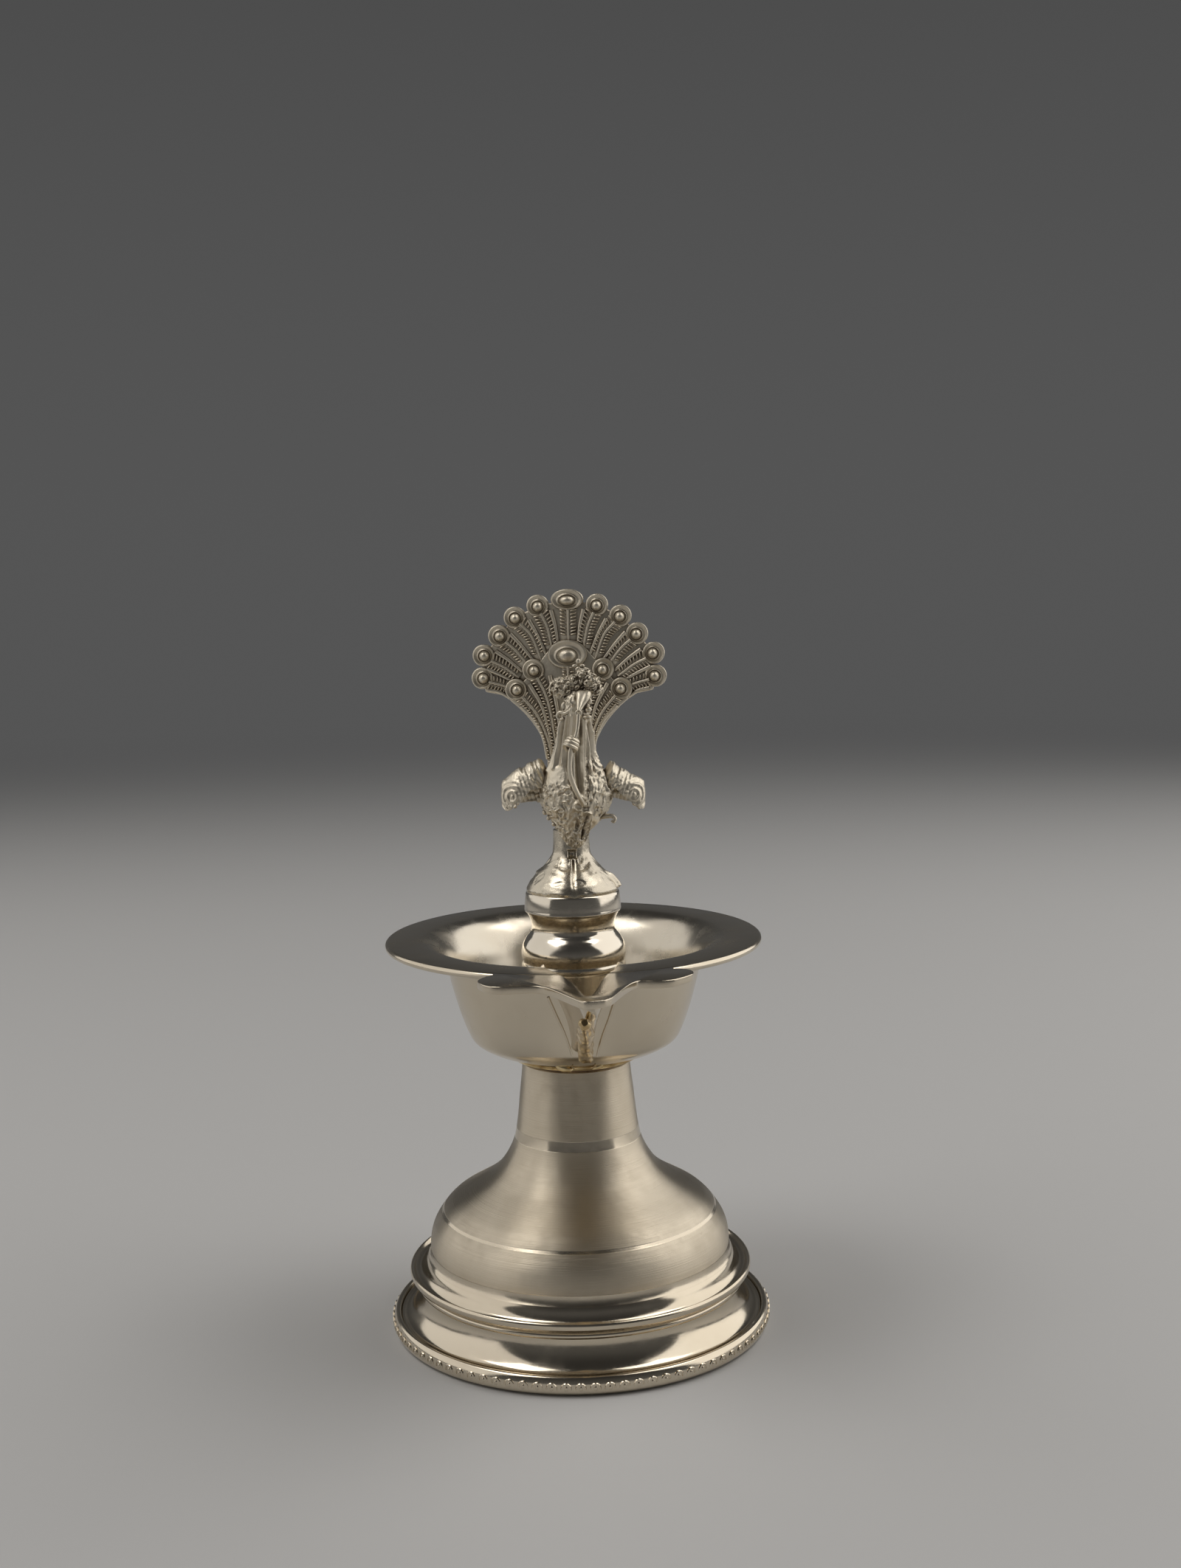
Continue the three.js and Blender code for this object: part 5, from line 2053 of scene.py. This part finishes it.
@dataclass
class Studio:
    """A pale floor, a plain grey backdrop, soft lamps, and the camera at the photograph's place."""

    camera_place: Place = (3.785, -334.72, 140.02)
    camera_down: float = 6.4226
    camera_roll: float = -1.185
    lens: float = 41.724
    pale: float = 0.6
    horizon: float = 0.09
    overhead: float = 0.035
    fade: Point = (0.4, 1.5)
    light_colour: Place = (1.0, 0.97, 0.93)
    aim_z: float = 0.15

    def build(self) -> None:
        """Builds the floor, the world, the lamps and the camera."""
        self.floor()
        self.world()
        self.lamp("left_softbox", (-0.66, 0.06, 0.46), (1.3, 0.90), 2.7)
        self.lamp("right_softbox", (0.66, 0.22, 0.46), (1.2, 0.90), 4.0)
        self.lamp("left_high_softbox", (-0.45, -0.2, 0.95), (0.5, 0.4), 2.0)
        self.lamp("right_high_softbox", (0.45, 0.0, 0.95), (0.5, 0.4), 1.4)
        self.camera()

    def floor(self) -> None:
        """Adds the pale floor that the lamp stands on, which fades into the backdrop far away."""
        deselect()
        bpy.ops.mesh.primitive_grid_add(x_subdivisions=8, y_subdivisions=8, size=14.0, location=(0, 0, 0))
        floor = newest("floor")
        graph = Graph("floor_finish")
        graph.shader.inputs["Base Color"].default_value = (self.pale, self.pale, self.pale, 1)
        graph.shader.inputs["Roughness"].default_value = 0.6
        parts = graph.node("SeparateXYZ", {0: graph.objects()}).outputs
        rays = graph.node("LightPath").outputs
        seen = graph.math("MAXIMUM", graph.math("MAXIMUM", rays["Is Camera Ray"], rays["Is Glossy Ray"]),
                          rays["Is Transmission Ray"])
        far = graph.node("Emission", {"Color": (self.horizon, self.horizon, self.horizon, 1)})
        share = graph.math("MULTIPLY", graph.ramp(graph.radius(parts), *self.fade), seen)
        both = graph.node("MixShader", {0: share, 1: graph.shader.outputs[0], 2: far.outputs[0]})
        graph.feed(graph.tree.nodes["Material Output"].inputs["Surface"], both.outputs[0])
        dress(floor, graph.material)

    def world(self) -> None:
        """Makes a plain grey studio that darkens overhead, the same to the eye and in reflections."""
        world = bpy.data.worlds.new("studio")
        bpy.context.scene.world = world
        world.use_nodes = True
        tree = world.node_tree
        back = tree.nodes["Background"]
        where = tree.nodes.new("ShaderNodeTexCoord")
        parts = tree.nodes.new("ShaderNodeSeparateXYZ")
        tree.links.new(where.outputs["Generated"], parts.inputs[0])
        level = tree.nodes.new("ShaderNodeMapRange")
        level.interpolation_type = "SMOOTHSTEP"
        tree.links.new(parts.outputs[2], level.inputs[0])
        for socket, value in ((1, 0.0), (2, 0.8), (3, self.horizon), (4, self.overhead)):
            level.inputs[socket].default_value = value
        tree.links.new(level.outputs[0], back.inputs[1])
        back.inputs[0].default_value = (1, 1, 1, 1)

    def lamp(self, name: str, place: Place, size: Point, watts: float) -> None:
        """Adds a softbox that looks at the lamp's middle.

        Args:
            name: Its name.
            place: Its place, in metres.
            size: Its width and height, in metres.
            watts: Its power.
        """
        light = bpy.data.lights.new(name, "AREA")
        light.shape = "RECTANGLE"
        light.size, light.size_y = size
        light.energy = watts
        light.color = self.light_colour
        obj = bpy.data.objects.new(name, light)
        obj.location = place
        aim = Vector((0, place[1] * 0.5, self.aim_z)) - Vector(place)
        obj.rotation_euler = aim.to_track_quat("-Z", "Y").to_euler()
        obj.visible_camera = False
        bpy.context.collection.objects.link(obj)

    def camera(self) -> None:
        """Sets the camera where the photograph was taken from."""
        data = bpy.data.cameras.new("camera")
        data.lens = self.lens
        data.sensor_width = 36.0
        data.clip_start = 0.01
        obj = bpy.data.objects.new("camera", data)
        tilt = Matrix.Rotation(math.radians(90 - self.camera_down), 4, "X")
        roll = Matrix.Rotation(math.radians(self.camera_roll), 4, "Z")
        obj.matrix_world = Matrix.Translation(Vector(self.camera_place) * MM) @ tilt @ roll
        bpy.context.collection.objects.link(obj)
        bpy.context.scene.camera = obj
        bpy.context.scene.view_settings.view_transform = "Standard"


def main() -> None:
    """Builds the lamp and its studio."""
    logging.basicConfig(level=logging.INFO, format="%(name)s: %(message)s")
    noise.seed_set(RELIEF_SEED)
    Studio().build()
    finishes = Finishes()
    left = Wing(finishes, "left_wing_cast", -1, "left_wing", stations=(
        (0.0, 4.6, 102.2, 105.2, 99.6, 2.6), (0.15, 5.9, 102.3, 107.2, 99.2, 3.2),
        (0.35, 7.6, 102.0, 106.8, 99.1, 3.4), (0.5, 9.0, 100.7, 106.0, 99.0, 3.4),
        (0.65, 10.6, 99.1, 105.4, 98.8, 3.3), (0.8, 12.0, 98.3, 104.2, 98.5, 2.9),
        (0.93, 13.1, 99.0, 103.2, 99.0, 2.0), (1.0, 13.4, 101.0, 101.2, 101.0, 0.1)))
    right = Wing(finishes, "right_wing_cast", 1, "right_wing", stations=(
        (0.0, 5.6, 102.2, 105.0, 99.6, 2.6), (0.15, 6.9, 102.3, 106.7, 99.6, 3.2),
        (0.35, 8.2, 101.6, 105.8, 99.4, 3.4), (0.5, 9.6, 100.2, 104.9, 99.0, 3.4),
        (0.65, 11.2, 98.9, 104.1, 98.6, 3.3), (0.8, 12.4, 98.1, 103.4, 98.2, 2.9),
        (0.93, 13.1, 98.5, 102.6, 98.6, 2.0), (1.0, 13.3, 100.4, 100.6, 100.4, 0.1)))
    for assembly in (Foot(finishes), Neck(finishes), Bowl(finishes), Spout(finishes), Finial(finishes),
                     Fan(finishes), Bird(finishes), left, right, Strand(finishes)):
        assembly.build()
        log.info("%s is built", type(assembly).__name__)


if __name__ == "__main__":
    main()
